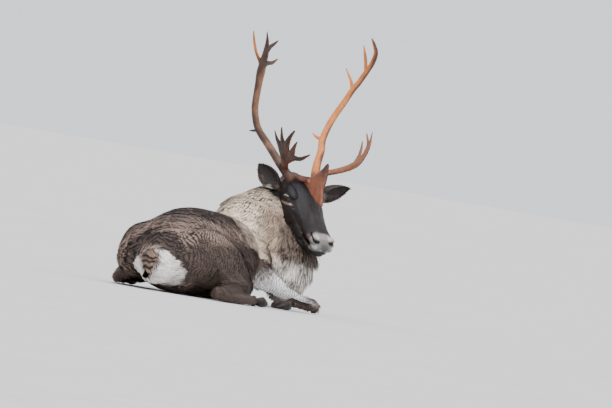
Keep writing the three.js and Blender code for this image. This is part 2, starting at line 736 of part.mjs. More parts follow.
for (const side of [RIGHT, LEFT]) {
  for (const [end, legs] of [['hind', HIND], ['fore', FORE]]) {
    const { foot } = legs[side.name];
    for (const [half, edge] of [['inner', 1], ['outer', -1]]) {
      addPiece(`toe_${end}_${side.name}_${half}`, HORN_BLACK, (grow) => toe(foot, side, edge, grow));
      addPiece(`dewclaw_${end}_${side.name}_${half}`, HORN_BLACK,
        (grow) => dewclaw(foot, side, edge, grow));
    }
  }
  const hind = HIND[side.name];
  const fore = FORE[side.name];
  addPiece(`cannon_hind_${side.name}`, LEG_DARK, (grow) => limb(hind.cannon, side, {}, grow));
  addPiece(`shank_${side.name}`, COAT_BROWN, (grow) => limb(hind.shank, side, {}, grow));
  addPiece(`thigh_${side.name}`, COAT_BROWN,
    (grow) => limb(hind.thigh, side, { sides: 12, steps: 6 }, grow));
  addPiece(`cannon_fore_${side.name}`, LEG_DARK, (grow) => limb(fore.cannon, side, {}, grow));
  addPiece(`forearm_${side.name}`, COAT_GREY, (grow) => limb(fore.forearm, side, {}, grow));
  addPiece(`upper_arm_${side.name}`, COAT_BROWN, (grow) => limb(fore.upperArm, side, {}, grow));
  addPiece(`eye_${side.name}`, EYE_BLACK, (grow) => eye(side, grow));
}
addPiece('tail', COAT_BROWN, tail);
addPiece('jaw', FACE_DARK, jaw);
addPiece('head', FACE_DARK, head);
addPiece('antler_right_base', ANTLER_TAN, () => beam(RIGHT, 0).intersect(belowHeight(BASE_CUT.right)),
  (grow) => beam(RIGHT, grow));
addPiece('antler_left_base', ANTLER_TAN, () => beam(LEFT, 0).intersect(belowHeight(BASE_CUT.left)),
  (grow) => beam(LEFT, grow));
addPiece('antler_right_beam', ANTLER_TAN,
  () => beam(RIGHT, 0).intersect(aboveHeight(BASE_CUT.right)).add(backTine(RIGHT)), () => null);
addPiece('antler_left_beam', ANTLER_TAN,
  () => joined([beam(LEFT, 0).intersect(aboveHeight(BASE_CUT.left)), backTine(LEFT), upperTine()]),
  () => null);
addPiece('antler_right_crown', ANTLER_RED, crownRight);
addPiece('antler_left_crown', ANTLER_TAN, crownLeft);
addPiece('antler_right_bez', ANTLER_RED, bezRight);
addPiece('antler_left_bez', ANTLER_TAN, bezLeft);
addPiece('antler_left_brow', ANTLER_RED, browLeft, () => browLeft());
addPiece('antler_right_brow', ANTLER_RED, browRight, () => browRight());
for (const side of [RIGHT, LEFT]) {
  addPiece(`ear_${side.name}`, COAT_BROWN, (grow) => ear(side, grow));
}
addPiece('hindquarters', COAT_BROWN, () => trunkLength(-100, TRUNK_CUTS[0] - GAP / 2), trunk);
addPiece('belly', COAT_BROWN,
  () => trunkLength(TRUNK_CUTS[0] + GAP / 2, TRUNK_CUTS[1] - GAP / 2), () => null);
addPiece('chest', COAT_BROWN, () => trunkLength(TRUNK_CUTS[1] + GAP / 2, 1100), () => null);
addPiece('throat_mane', BEARD_WHITE, throatMane);
addPiece('neck', MANE_CREAM, neck);

const GROUND = block([-500, -1500, 0], [2500, 1500, 2000]);

function boxesMeet(a, b) {
  return a.min.every((low, i) => low < b.max[i]) && b.min.every((low, i) => low < a.max[i]);
}

// Which earlier pieces a piece doesn't give way to, as they come from one cut solid
const SAME_SOLID = {
  antler_right_beam: ['antler_right_base'],
  antler_left_beam: ['antler_left_base'],
  belly: ['hindquarters'],
  chest: ['hindquarters'],
};

function fitted(piece, index) {
  let solid = piece.shape(0).intersect(GROUND);
  for (const earlier of pieces.slice(0, index)) {
    if ((SAME_SOLID[piece.name] ?? []).includes(earlier.name)) continue;
    earlier.grown ??= earlier.cutter(GAP) ?? 'none';
    if (earlier.grown === 'none') continue;
    if (boxesMeet(solid.boundingBox(), earlier.grown.boundingBox())) {
      solid = solid.subtract(earlier.grown);
    }
  }
  return largestBody(solid);
}

const animal = new THREE.Group();
pieces.forEach((piece, index) => {
  const material = new THREE.MeshStandardMaterial({ ...piece.finish, metalness: 0 });
  const mesh = new THREE.Mesh(geometryFromSolid(fitted(piece, index)), material);
  mesh.name = piece.name;
  animal.add(mesh);
});

const extent = new THREE.Box3().setFromObject(animal);
const middle = extent.getCenter(new THREE.Vector3());
animal.position.set(-middle.x, -middle.y, -extent.min.z);

const group = new THREE.Group();
group.add(animal);

export default group;
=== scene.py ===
import math

import bpy
import numpy as np
from mathutils import Matrix, Vector
from mathutils.bvhtree import BVHTree


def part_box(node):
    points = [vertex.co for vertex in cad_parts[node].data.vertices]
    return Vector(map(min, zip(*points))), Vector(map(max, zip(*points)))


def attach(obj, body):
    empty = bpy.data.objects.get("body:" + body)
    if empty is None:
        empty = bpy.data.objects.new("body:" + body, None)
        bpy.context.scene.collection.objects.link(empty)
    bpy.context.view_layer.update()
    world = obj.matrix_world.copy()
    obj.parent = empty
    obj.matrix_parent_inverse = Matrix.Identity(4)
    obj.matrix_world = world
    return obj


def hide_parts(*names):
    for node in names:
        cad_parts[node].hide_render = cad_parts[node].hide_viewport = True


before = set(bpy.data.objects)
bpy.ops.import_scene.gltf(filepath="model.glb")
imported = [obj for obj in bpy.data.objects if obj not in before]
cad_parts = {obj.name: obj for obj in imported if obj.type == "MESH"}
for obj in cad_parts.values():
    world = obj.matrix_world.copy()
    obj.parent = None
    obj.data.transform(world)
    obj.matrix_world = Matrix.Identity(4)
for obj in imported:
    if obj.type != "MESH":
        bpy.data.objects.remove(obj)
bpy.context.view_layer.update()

MM = 0.001
SEED = 7
RANDOM = np.random.default_rng(SEED)
UP = np.array([0.0, 0.0, 1.0])
SIDES = {"right": -1, "left": 1}

# The head's frame, found from the two eyes: along the face, to the animal's left, and up from the face.
# EYE says where the eyes lie in it, in millimetres from the poll.
HEAD_PITCH = math.radians(38.5)
EYE = {"along": 80, "side": 82, "up": -50, "radius": 18}
POLL_IN_PART = np.array([1026, -184, 560])

# For each region, in millimetres: how far the skin lies inside its shape, or outside where the number is
# negative, the width and rise of its tufts and the distance between its rows; then how many rows a tuft
# covers, the share of a row that is dark, painted as the shade under the row before it over darker roots,
# how many tufts grow on the square of a tuft's width, how much the rows wander, and how much the skin is
# smoothed
COAT_COLUMNS = ("depth", "width", "rise", "rows", "spans", "dark", "crowd", "wander", "smooth")
COAT = {
    "trunk": (9, 4.8, 6.0, 15.5, 2, 0.44, 1.00, 0.8, 1.0),
    "thigh": (9, 4.8, 5.5, 15.0, 2, 0.34, 1.00, 0.9, 0.8),
    "tail": (8, 3.8, 6.0, 17.0, 2, 0.42, 1.00, 0.5, 0.3),
    "shoulder": (9, 4.6, 7.0, 12.0, 3, 0.22, 0.95, 0.8, 0.8),
    "neck": (-5, 4.2, 13.0, 9.0, 5, 0.31, 1.10, 0.8, 0.6),
    "throat": (-2, 4.2, 17.0, 14.0, 5, 0.22, 1.10, 0.9, 0.5),
    "forearm": (6, 3.4, 4.0, 11.0, 2, 0.24, 0.85, 0.9, 0.4),
    "shank": (6, 3.4, 4.0, 9.5, 2, 0.24, 0.75, 0.8, 0.4),
    "cannon": (4, 2.8, 2.8, 8.0, 2, 0.20, 0.85, 0.8, 0.15),
}
REGIONS = list(COAT)
COAT_TABLE = np.array([COAT[region] for region in REGIONS], float)


def unit(vectors):
    return vectors / np.maximum(np.linalg.norm(vectors, axis=-1, keepdims=True), 1e-9)


def middle_of(node):
    low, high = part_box(node)
    return (np.array(low) + np.array(high)) / 2


EYE_CENTRES = {side: middle_of(f"eye_{side}") for side in SIDES}
HEAD_LEFT = unit(EYE_CENTRES["left"] - EYE_CENTRES["right"])
FACING = np.array([HEAD_LEFT[1], -HEAD_LEFT[0], 0.0])
HEAD_ALONG = FACING * math.cos(HEAD_PITCH) - UP * math.sin(HEAD_PITCH)
HEAD_UP = FACING * math.sin(HEAD_PITCH) + UP * math.cos(HEAD_PITCH)
EYES_MIDDLE = (EYE_CENTRES["left"] + EYE_CENTRES["right"]) / 2
POLL = EYES_MIDDLE - MM * (HEAD_ALONG * EYE["along"] + HEAD_UP * EYE["up"])
SHIFT = POLL - POLL_IN_PART * MM


def place(x, y, z):
    """A point of the body given in the part's own millimetres, forward from the tail root, left and up"""
    return np.array([x, y, z]) * MM + SHIFT


def part_coordinates(points):
    return (points - SHIFT) / MM


def head_vector(along, left, up):
    return along * HEAD_ALONG + left * HEAD_LEFT + up * HEAD_UP


def on_head(along, left, up):
    return POLL + MM * head_vector(along, left, up)


def head_coordinates(points):
    away = (points - POLL) / MM
    return away @ HEAD_ALONG, away @ HEAD_LEFT, away @ HEAD_UP


def level_vector(left, fore, height):
    """In the head's level frame: to its left, towards where it looks, and up"""
    return left * HEAD_LEFT + fore * FACING + height * UP


def on_crown(left, fore, height):
    """A point beside the crown, in the head's level frame"""
    return POLL + MM * level_vector(left, fore, height)


# Small tools

def srgb(text):
    """A colour written as hex, in linear light"""
    parts = np.array([int(text[i:i + 2], 16) for i in (1, 3, 5)]) / 255
    return np.where(parts <= 0.04045, parts / 12.92, ((parts + 0.055) / 1.055) ** 2.4)


def step_between(values, low, high):
    """0 below low, 1 above high and smooth between them, also where low is the larger of the two"""
    share = np.clip((values - low) / (high - low), 0, 1)
    return share * share * (3 - 2 * share)


def mix(a, b, share):
    return a + (b - a) * np.asarray(share)[..., None]


WAVE_COUNT = 9
WAVES = RANDOM.normal(size=(WAVE_COUNT, 3))
WAVE_STARTS = RANDOM.uniform(0, 2 * math.pi, WAVE_COUNT)


def ripple(points, size):
    """Smooth noise between about -1 and 1 whose swells are about size metres across"""
    total = np.zeros(len(points))
    for wave, start in zip(WAVES, WAVE_STARTS):
        total += np.sin(points @ wave * (2.4 / size) + start)
    return total / math.sqrt(WAVE_COUNT)


def near(values, centres, radii):
    """1 at a place and 0 from its radii on, for values and centres given along each direction"""
    squares = [((value - centre) / radius) ** 2 for value, centre, radius in zip(values, centres, radii)]
    return step_between(np.sqrt(sum(squares)), 1, 0.4)


def add_object(name, data):
    obj = bpy.data.objects.new(name, data)
    bpy.context.scene.collection.objects.link(obj)
    return obj


def mesh_object(name, points, faces):
    mesh = bpy.data.meshes.new(name)
    mesh.from_pydata([tuple(p) for p in points], [], faces)
    mesh.update()
    return add_object(name, mesh)


def rows_of(items, key, width, kind=np.float32):
    """One row of numbers for each of a mesh's points, edges or faces"""
    flat = np.empty(len(items) * width, kind)
    items.foreach_get(key, flat)
    return flat.reshape(-1, width)


def points_of(mesh):
    return rows_of(mesh.vertices, "co", 3).astype(float)


def normals_of(mesh):
    return rows_of(mesh.vertices, "normal", 3).astype(float)


def edges_of(mesh):
    return rows_of(mesh.edges, "vertices", 2, np.int32)


def triangles_of(mesh):
    mesh.calc_loop_triangles()
    return rows_of(mesh.loop_triangles, "vertices", 3, np.int32)


def move_points(mesh, points):
    mesh.vertices.foreach_set("co", points.astype(np.float32).ravel())
    mesh.update()


def shape_of(mesh):
    return points_of(mesh), [tuple(int(i) for i in row) for row in triangles_of(mesh)]


def tree_of(points, faces):
    """Finds the nearest place on a shape"""
    return BVHTree.FromPolygons([tuple(p) for p in points], [tuple(f) for f in faces])


def apply_modifiers(obj, *steps):
    """Changes the object's mesh by modifiers, each given as its kind and its settings"""
    for kind, settings in steps:
        modifier = obj.modifiers.new(kind, kind)
        for key, value in settings.items():
            setattr(modifier, key, value)
    graph = bpy.context.evaluated_depsgraph_get()
    mesh = bpy.data.meshes.new_from_object(obj.evaluated_get(graph))
    obj.modifiers.clear()
    obj.data = mesh
    return obj


def joined(shapes):
    """The points and faces of all shapes, each a pair of points and faces"""
    points, faces = [], []
    for shape_points, shape_faces in shapes:
        start = len(points)
        points.extend(shape_points)
        faces.extend([tuple(i + start for i in face) for face in shape_faces])
    return points, faces


def node_shape(name):
    return shape_of(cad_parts[name].data)


# The size of the voxels of each skin, in metres, and how often it's smoothed
SKINS = {
    "body": (0.0065, 0), "head": (0.002, 5), "antler": (0.002, 6), "hoof": (0.0017, 40),
    "unwrap": (0.016, 0),
}


def remeshed(kind, name, shapes):
    """One closed skin round all shapes"""
    voxel, smoothing = SKINS[kind]
    steps = [("REMESH", {"mode": "VOXEL", "voxel_size": voxel})]
    if smoothing:
        steps.append(("SMOOTH", {"factor": 0.5, "iterations": smoothing}))
    return apply_modifiers(mesh_object(name, *joined(shapes)), *steps)


def add_piece(obj, slot, *nodes):
    obj.data.polygons.foreach_set("use_smooth", np.ones(len(obj.data.polygons), bool))
    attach(obj, "root")
    if nodes:
        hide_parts(*nodes)
    return obj


# Curves and lofts

def spline(rows, count):
    """Points of a smooth curve through all rows"""
    rows = np.array(rows, float)
    ends = np.vstack([2 * rows[0] - rows[1], rows, 2 * rows[-1] - rows[-2]])
    t = np.linspace(0, len(rows) - 1, count)
    k = np.minimum(t.astype(int), len(rows) - 2)
    f = (t - k)[:, None]
    a, b, c, d = (ends[k + step] for step in range(4))
    return 0.5 * (2 * b + (c - a) * f + (2 * a - 5 * b + 4 * c - d) * f**2 + (3 * b - a - 3 * c + d) * f**3)


DOME_TURNS = [1.45, 1.2, 0.95, 0.7, 0.45, 0.2]
THINNEST = 0.0004


def loft(stations, hint, sides=28, steps=36):
    """A tube with domed ends through stations of a centre in metres and, in millimetres, half-width, reach
    above and reach below"""
    rows = spline([[*centre, *np.array(sizes) * MM] for centre, *sizes in stations], steps)
    centres, sizes = rows[:, :3], np.maximum(rows[:, 3:], THINNEST)
    along = unit(np.gradient(centres, axis=0))
    side = unit(np.cross(np.asarray(hint, float), along))
    above = np.cross(along, side)
    angles = np.linspace(0, 2 * math.pi, sides, endpoint=False)

    def ring(k, scale, shift):
        reach = np.where(np.sin(angles) > 0, sizes[k][1], sizes[k][2]) * np.sin(angles) * scale
        across = sizes[k][0] * np.cos(angles) * scale
        middle = centres[k] + along[k] * shift
        return middle + across[:, None] * side[k] + reach[:, None] * above[k]

    depth = sizes.sum(axis=1) / 4
    rings = [ring(0, math.cos(turn), -depth[0] * math.sin(turn)) for turn in DOME_TURNS]
    rings += [ring(k, 1, 0) for k in range(steps)]
    rings += [ring(steps - 1, math.cos(turn), depth[-1] * math.sin(turn)) for turn in reversed(DOME_TURNS)]
    return tube(rings)


def tube(rings):
    """Points and faces of a closed surface through rings of equal length"""
    sides = len(rings[0])
    faces = []
    for k in range(len(rings) - 1):
        for i in range(sides):
            j = (i + 1) % sides
            faces.append((k * sides + i, k * sides + j, (k + 1) * sides + j, (k + 1) * sides + i))
    last = (len(rings) - 1) * sides
    faces.append(tuple(range(sides - 1, -1, -1)))
    faces.append(tuple(range(last, last + sides)))
    return np.vstack(rings), faces


def ellipsoid(centre, radii, axes, rings=14, sides=24):
    heights = np.linspace(-1, 1, rings + 2)[1:-1] * math.pi / 2
    angles = np.linspace(0, 2 * math.pi, sides, endpoint=False)
    shape = []
    for height in heights:
        across = math.cos(height) * radii[0] * np.cos(angles)
        around = math.cos(height) * radii[1] * np.sin(angles)
        rise = np.full(sides, math.sin(height) * radii[2])
        shape.append(centre + MM * np.stack([across, around, rise], 1) @ np.array(axes))
    return tube(shape)


# The neck and throat under their mane

NECK = [
    (place(840, -10, 232), 112, 160, 134),
    (place(905, -30, 280), 114, 179, 148),
    (place(975, -52, 340), 104, 152, 134),
    (place(1040, -76, 410), 84, 113, 96),
    (place(1076, -104, 476), 66, 72, 70),
]
THROAT = [
    (place(985, -200, 150), 76, 74, 82),
    (place(985, -200, 205), 92, 88, 92),
    (place(998, -196, 270), 86, 78, 86),
    (place(1018, -178, 335), 68, 50, 68),
    (place(1036, -158, 385), 48, 30, 46),
]

# Head: skull and jaw as along, up, half-width, reach above and reach below

SKULL = [
    (-58, -86, 56, 62, 56), (-20, -85, 78, 84, 78), (40, -82, 90, 88, 92), (90, -75, 92, 80, 92),
    (145, -68, 80, 68, 82), (205, -62, 66, 55, 64), (262, -57, 59, 43, 44), (312, -51, 59, 33, 36),
    (352, -50, 55, 25, 30), (372, -54, 42, 17, 19),
]
JAW = [
    (60, -138, 60, 30, 40), (120, -132, 62, 30, 38), (190, -125, 62, 30, 33), (250, -119, 60, 28, 29),
    (302, -112, 53, 24, 25), (342, -95, 41, 17, 22), (364, -85, 28, 11, 14),
]
# Lips and folds of skin as along, outward, up and radius
UPPER_LIP = [
    (258, 43, -94, 5), (318, 50, -83, 8), (352, 44, -76, 8.5), (368, 30, -69, 8), (378, 12, -60, 7.5),
    (380, 0, -58, 7.5),
]
LOWER_LIP = [
    (252, 38, -103, 4), (314, 45, -97, 6), (346, 38, -92, 7.5), (364, 26, -86, 8), (374, 10, -77, 8),
    (376, 0, -75, 8),
]
LOWER_FOLD = [
    (72, 92, -72, 3), (84, 94, -68, 5.5), (98, 91, -63, 6.5), (111, 86, -57, 6.5), (122, 80, -49, 5.5),
    (133, 73, -42, 3),
]
UPPER_FOLD = [(70, 94, -44, 2.5), (77, 98, -37, 4), (84, 95, -33, 4.5), (91, 89, -31, 3.5), (97, 83, -32, 2)]
# Swellings as along, outward, up and the radii along, across and up
CHIN = [(352, 0, -94, 26, 30, 13)]
EYE_MOUNDS = [(80, 82, -50, 20.5, 20.5, 20.5), (74, 76, -50, 32, 18, 25)]
BROW_TO_LIP = [
    (74, 66, -20, 44, 20, 16), (100, 56, -112, 66, 26, 46), (215, 52, -92, 62, 12, 26),
    (344, 45, -38, 27, 13, 16), (357, 30, -60, 26, 24, 16),
]
# The stump of an antler as along, outward, up, half-width and reach
STUMP = [(2, 54, -46, 31, 33, 33), (4, 60, -14, 22, 23, 23)]
# Hollows as middle, radii and push, each along, outward and up; first those of each side: the gland's pit
# before the eye, the cheek and the bridge; then the lip's groove and the forehead
SIDE_HOLLOWS = [
    ((147, 68, -50), (9, 14, 6), (0, -6, 0)),
    ((205, 60, -62), (60, 24, 20), (0, -5, 0)),
    ((180, 42, -22), (70, 26, 20), (0, 0, -4)),
]
MIDDLE_HOLLOWS = [((382, 0, -56), (14, 4.5, 16), (-4, 0, 0)), ((50, 0, 4), (46, 26, 16), (0, 0, -3))]
HEAD_SKIN_DEPTH = 2.0

# How an eye looks out, along its opening towards the nose, and up its lids: along, outward and up
EYE_OUT = np.array([0.565, 0.724, 0.392])
EYE_SLOPE = np.array([0.465, -0.675, 0.573])
EYE_RISE = np.array([-0.681, 0.141, 0.7185])
EYE_OPENING = {"half": 12.0, "high": 7.2, "depth": 9, "from": 4, "to": 40}
FAR_FROM_EYE = 9.0


def head_loft(rows):
    inset = HEAD_SKIN_DEPTH
    stations = [(on_head(along, 0, up), *(np.array(sizes) - inset)) for along, up, *sizes in rows]
    return loft(stations, HEAD_UP, sides=44, steps=80)


def roll(rows, hint, sides=12, steps=50):
    """A soft roll of skin through rows of along, left, up and radius"""
    stations = [(on_head(along, left, up), radius, radius, radius) for along, left, up, radius in rows]
    return loft(stations, hint, sides=sides, steps=steps)


def mirrored(rows):
    right = [(along, -left, up, radius) for along, left, up, radius in rows]
    return right + list(reversed(rows[:-1]))


def on_side(rows, sign):
    return [(along, left * sign, up, radius) for along, left, up, radius in rows]


def bulges(rows, sign=1):
    axes = [HEAD_ALONG, HEAD_LEFT, HEAD_UP]
    return [ellipsoid(on_head(along, sign * out, up), radii, axes) for along, out, up, *radii in rows]


def head_shapes():
    """Skull and jaw with lips, brow, eye mounds, folds, cheeks, nostril wings and the antlers' stumps"""
    shapes = [head_loft(rows) for rows in (SKULL, JAW)]
    shapes += [roll(mirrored(rows), HEAD_UP) for rows in (UPPER_LIP, LOWER_LIP)]
    shapes += bulges(CHIN)
    for sign in SIDES.values():
        shapes += bulges(EYE_MOUNDS, sign)
        shapes += [roll(on_side(rows, sign), HEAD_LEFT) for rows in (LOWER_FOLD, UPPER_FOLD)]
        shapes += bulges(BROW_TO_LIP, sign)
        stump = [(on_head(along, sign * out, up), *sizes) for along, out, up, *sizes in STUMP]
        shapes.append(loft(stump, FACING, steps=10))
    return shapes


def pressed(points, hollows, sign=1):
    """Pushes the points of each hollow, all the way at its middle and less around it"""
    for (along, out, up), radii, (fore, outward, rise) in hollows:
        share = near(head_coordinates(points), (along, sign * out, up), radii)
        points = points + MM * share[:, None] * head_vector(fore, sign * outward, rise)
    return points


def eye_coordinates(points, sign):
    """Places in an eye's own frame, from its middle: along its opening, up its lids and out"""
    along, left, up = head_coordinates(points)
    away = np.stack([along - EYE["along"], left * sign - EYE["side"], up - EYE["up"]], 1)
    return away @ EYE_SLOPE, away @ EYE_RISE, away @ EYE_OUT


def eye_edge(points, sign):
    """1 on the edge of an eye's opening, less inside it and more outside"""
    slope, rise, out = eye_coordinates(points, sign)
    edge = np.abs(rise) / EYE_OPENING["high"] + (slope / EYE_OPENING["half"]) ** 2
    return np.where((out > EYE_OPENING["from"]) & (out < EYE_OPENING["to"]), edge, FAR_FROM_EYE)


def open_eye(points, sign):
    """Sinks the skin between the lids, so that the eyeball stands before it"""
    share = step_between(eye_edge(points, sign), 1.2, 0.85)
    fore, outward, rise = EYE_OUT
    return points - (MM * EYE_OPENING["depth"] * share)[:, None] * head_vector(fore, sign * outward, rise)


# The comma of each nostril, from its thin upper end to the hole: along, outward, up and half-width. Its
# widths are measured across the way in which the hole looks out.
NOSTRIL = [
    (305, 45, -32, 1.8), (325, 52, -31, 2.8), (344, 56, -30, 4.5), (357, 55, -32, 7.5), (365, 48, -31, 8.5),
    (368, 40, -28, 7.5), (369, 34, -27, 5),
]
NOSTRIL_OUT = np.array([0.668, 0.52, 0.531])
NOSTRIL_REACH = 45
NOSTRIL_DEPTH = 12
NOSTRILS_APART = 14


def nostril_share(points, scale=1.0):
    """How far inside a nostril's comma each point lies, 1 in the hole and 0 outside"""
    along, left, up = head_coordinates(points)
    share = np.zeros(len(points))
    for a, l, u, half in spline(NOSTRIL, 20):
        away = np.stack([along - a, np.abs(left) - l, up - u], 1)
        deep = away @ NOSTRIL_OUT
        distance = np.linalg.norm(away - deep[:, None] * NOSTRIL_OUT, axis=1)
        inside = step_between(distance, half * 1.25 * scale, half * 0.75 * scale)
        share = np.maximum(share, inside * (np.abs(deep) < NOSTRIL_REACH))
    return share * (np.abs(left) > NOSTRILS_APART)


def shape_head_details(points, normals):
    """Nostrils, eye openings and hollows"""
    points = points - (MM * NOSTRIL_DEPTH * nostril_share(points))[:, None] * normals
    for sign in SIDES.values():
        points = pressed(open_eye(points, sign), SIDE_HOLLOWS, sign)
    return pressed(points, MIDDLE_HOLLOWS)


def make_head():
    """The head and, for each point, how far it lies in a nostril, in an eye's opening and on its rim"""
    head = remeshed("head", "head_shape", head_shapes())
    points = points_of(head.data)
    edge = np.minimum(*(eye_edge(points, sign) for sign in SIDES.values()))
    opening, rim = step_between(edge, 1.3, 1.0), step_between(edge, 2.4, 1.5)
    marks = np.stack([nostril_share(points, 1.05), opening, rim], 1)
    move_points(head.data, shape_head_details(points, normals_of(head.data)))
    return apply_modifiers(head, ("SMOOTH", {"factor": 0.5, "iterations": 2})), marks


# Ears, as leaf-shaped cups

# Each ear from root to tip: share of the way, radius, and how far round the cup reaches, in degrees
EAR_SHAPE = [
    (-0.1, 16, 300), (0.1, 27, 265), (0.3, 37, 220), (0.52, 38, 190), (0.74, 30, 170), (0.91, 16, 150),
    (1, 5, 130),
]
EARS = {
    "right": {"root": (-95, -38, -46), "tip": (-178, -80, 33), "opens": (-0.55, 0.75, -0.25), "fuller": 1.1},
    "left": {"root": (90, -22, -54), "tip": (214, 42, -6), "opens": (0.25, 0.8, -0.55), "fuller": 1.2},
}
EAR_INSET = 1.5


def ear_frame(side):
    ear = EARS[side]
    root, tip = on_crown(*ear["root"]), on_crown(*ear["tip"])
    along = unit(tip - root)
    opens = level_vector(*ear["opens"])
    opens = unit(opens - along * (opens @ along))
    return root, tip, along, opens, np.cross(along, opens)


def ear_shape(side, points=34, steps=44):
    root, tip, _, opens, across = ear_frame(side)
    rings = []
    for share, plain, span in spline(EAR_SHAPE, steps):
        centre = root + (tip - root) * share
        radius = max(plain * EARS[side]["fuller"], 2.5)
        outer = radius - EAR_INSET
        inner = radius * 0.91 - 2.5 + EAR_INSET * 0.5
        turns = np.radians(180 + np.linspace(-0.5, 0.5, points) * span)

        def arc(reach):
            out = reach * np.cos(turns) * 0.8 + radius * 0.35
            return centre + MM * (out[:, None] * opens + (reach * np.sin(turns))[:, None] * across)

        rings.append(np.vstack([arc(outer), arc(min(inner, outer - 1.2))[::-1]]))
    return tube(rings)


# Skin of the body, from the solids of flesh

LIMBS = {
    "thigh": "thigh", "shank": "shank", "upper_arm": "shoulder", "forearm": "forearm",
    "cannon_hind": "cannon", "cannon_fore": "cannon",
}
FLESH = {
    "hindquarters": "trunk", "belly": "trunk", "chest": "shoulder", "tail": "tail",
    **{f"{limb}_{side}": region for limb, region in LIMBS.items() for side in SIDES},
}
BORDER_BLEND = 10
BODY_SMOOTHING = 50
GROUND_CLEARANCE = 0.004


def neighbour_mean(values, edges):
    """Each point's values averaged with those of the points around it"""
    count = len(values)
    around = np.bincount(edges.ravel(), minlength=count)
    total = np.empty_like(values)
    for column in range(values.shape[1]):
        total[:, column] = np.bincount(edges[:, 0], values[edges[:, 1], column], count)
        total[:, column] += np.bincount(edges[:, 1], values[edges[:, 0], column], count)
    return (values + total) / (1 + around)[:, None]


def region_weights(points, shapes, edges):
    """For each point, how much it belongs to each region, blended across their borders"""
    tree = tree_of(*joined([shape for _, shape in shapes]))
    owners = [REGIONS.index(region) for region, (_, faces) in shapes for _ in faces]
    nearest = [owners[tree.find_nearest(Vector(point))[2]] for point in points]
    weights = np.eye(len(REGIONS))[nearest]
    for _ in range(BORDER_BLEND):
        weights = neighbour_mean(weights, edges)
    return weights


def coat_value(weights, column):
    return weights @ COAT_TABLE[:, COAT_COLUMNS.index(column)]


def make_body():
    shapes = [(region, node_shape(node)) for node, region in FLESH.items()]
    shapes.append(("neck", loft(NECK, UP)))
    shapes.append(("throat", loft(THROAT, FACING)))
    body = remeshed("body", "body_shape", [shape for _, shape in shapes])
    points, edges = points_of(body.data), edges_of(body.data)
    weights = region_weights(points, shapes, edges)
    smoothing = coat_value(weights, "smooth")
    for _ in range(BODY_SMOOTHING):
        points += (neighbour_mean(points, edges) - points) * smoothing[:, None]
    move_points(body.data, points)
    points -= normals_of(body.data) * coat_value(weights, "depth")[:, None] * MM
    points[:, 2] = np.maximum(points[:, 2], GROUND_CLEARANCE)
    move_points(body.data, points)
    return body, weights


# Where the hair lies: it flows from the head to the tail root and down, and along each limb

TAIL_ROOT = place(10, -10, 175)
# How much the hair of a region points to the tail root, and how much down
HAIR_PULL = {
    "trunk": (1.0, 0.25), "thigh": (1.0, 0.2), "tail": (0.2, 1.0), "shoulder": (0.9, 0.4),
    "neck": (0.75, 0.6), "throat": (0.15, 1.0),
}
# Where a limb's hair begins and where it ends; that of the cannons runs to the feet, towards the middle
LIMB_LIES = {
    ("forearm", "right"): (place(770, -180, 120), place(942, -364, 50)),
    ("forearm", "left"): (place(778, 178, 118), place(1012, 186, 50)),
    ("shank", "right"): (place(440, -236, 72), place(128, -268, 54)),
    ("shank", "left"): (place(430, 222, 70), place(160, 212, 52)),
}
CANNON_MIDDLE = 600
LIMB_DROOP = 0.45


def on_this_side(points, sign):
    return points[:, 1] * sign > SHIFT[1] * sign


def lie_of(points, weights, normals):
    """The direction of the hair on each point; where a form ends, as at wrist and hock, it turns down"""
    to_tail = unit(TAIL_ROOT - points)
    total = np.zeros((len(points), 3))
    for k, region in enumerate(REGIONS):
        if region in HAIR_PULL:
            back, down = HAIR_PULL[region]
            direction = to_tail * back - UP * down
        elif region == "cannon":
            direction = np.zeros_like(points)
            direction[:, 0] = np.where(part_coordinates(points)[:, 0] < CANNON_MIDDLE, 1, -1)
            direction -= UP * LIMB_DROOP
        else:
            direction = np.empty_like(points)
            for side, sign in SIDES.items():
                start, end = LIMB_LIES[(region, side)]
                direction[on_this_side(points, sign)] = unit(end - start) - UP * LIMB_DROOP
        total += direction * weights[:, k, None]
    total = unit(total)
    facing = np.abs(np.sum(total * normals, axis=1))
    return mix(total, -UP, step_between(facing, 0.6, 0.88))


def flattened(directions, normals):
    return directions - normals * np.sum(directions * normals, axis=1, keepdims=True)


def laid(directions, normals):
    """The directions laid flat on the skin, one unit long"""
    return unit(flattened(directions, normals))


def flatness(directions, normals):
    """How flat the hair lies on the skin; less where it points into or out of it"""
    share = np.linalg.norm(flattened(directions, normals), axis=1) / np.linalg.norm(directions, axis=1)
    return np.clip(0.3 + share, 0.45, 1)


def swung(lie, normal, swing):
    """The lie turned aside on the skin, by the tangent of an angle"""
    return laid(lie + np.cross(normal, lie) * swing[:, None], normal)


def row_phase(points, weights):
    """Counts the rows of clumped hair along the lie; whole numbers are the edges of rows"""
    far = np.linalg.norm(points - TAIL_ROOT, axis=1)
    total = np.zeros(len(points))
    for k, region in enumerate(REGIONS):
        back, down = HAIR_PULL.get(region, (1.0, 0.0))
        way = -far * back - points[:, 2] * down
        for side, sign in SIDES.items():
            if (region, side) in LIMB_LIES:
                start, end = LIMB_LIES[(region, side)]
                here = on_this_side(points, sign)
                way[here] = ((points - start) @ unit(end - start))[here]
        total += weights[:, k] * way / (COAT_TABLE[k, COAT_COLUMNS.index("rows")] * MM)
    wander = 1.5 * ripple(points, 0.16) + 0.6 * ripple(points, 0.05) + 0.3 * ripple(points, 0.018)
    return total + wander * coat_value(weights, "wander")


# Markings, shared by skin and coat

def tones(pale, dark):
    """The pale and the dark colour of a part of the coat, in linear light"""
    return np.stack([srgb(pale), srgb(dark)])[:, None]


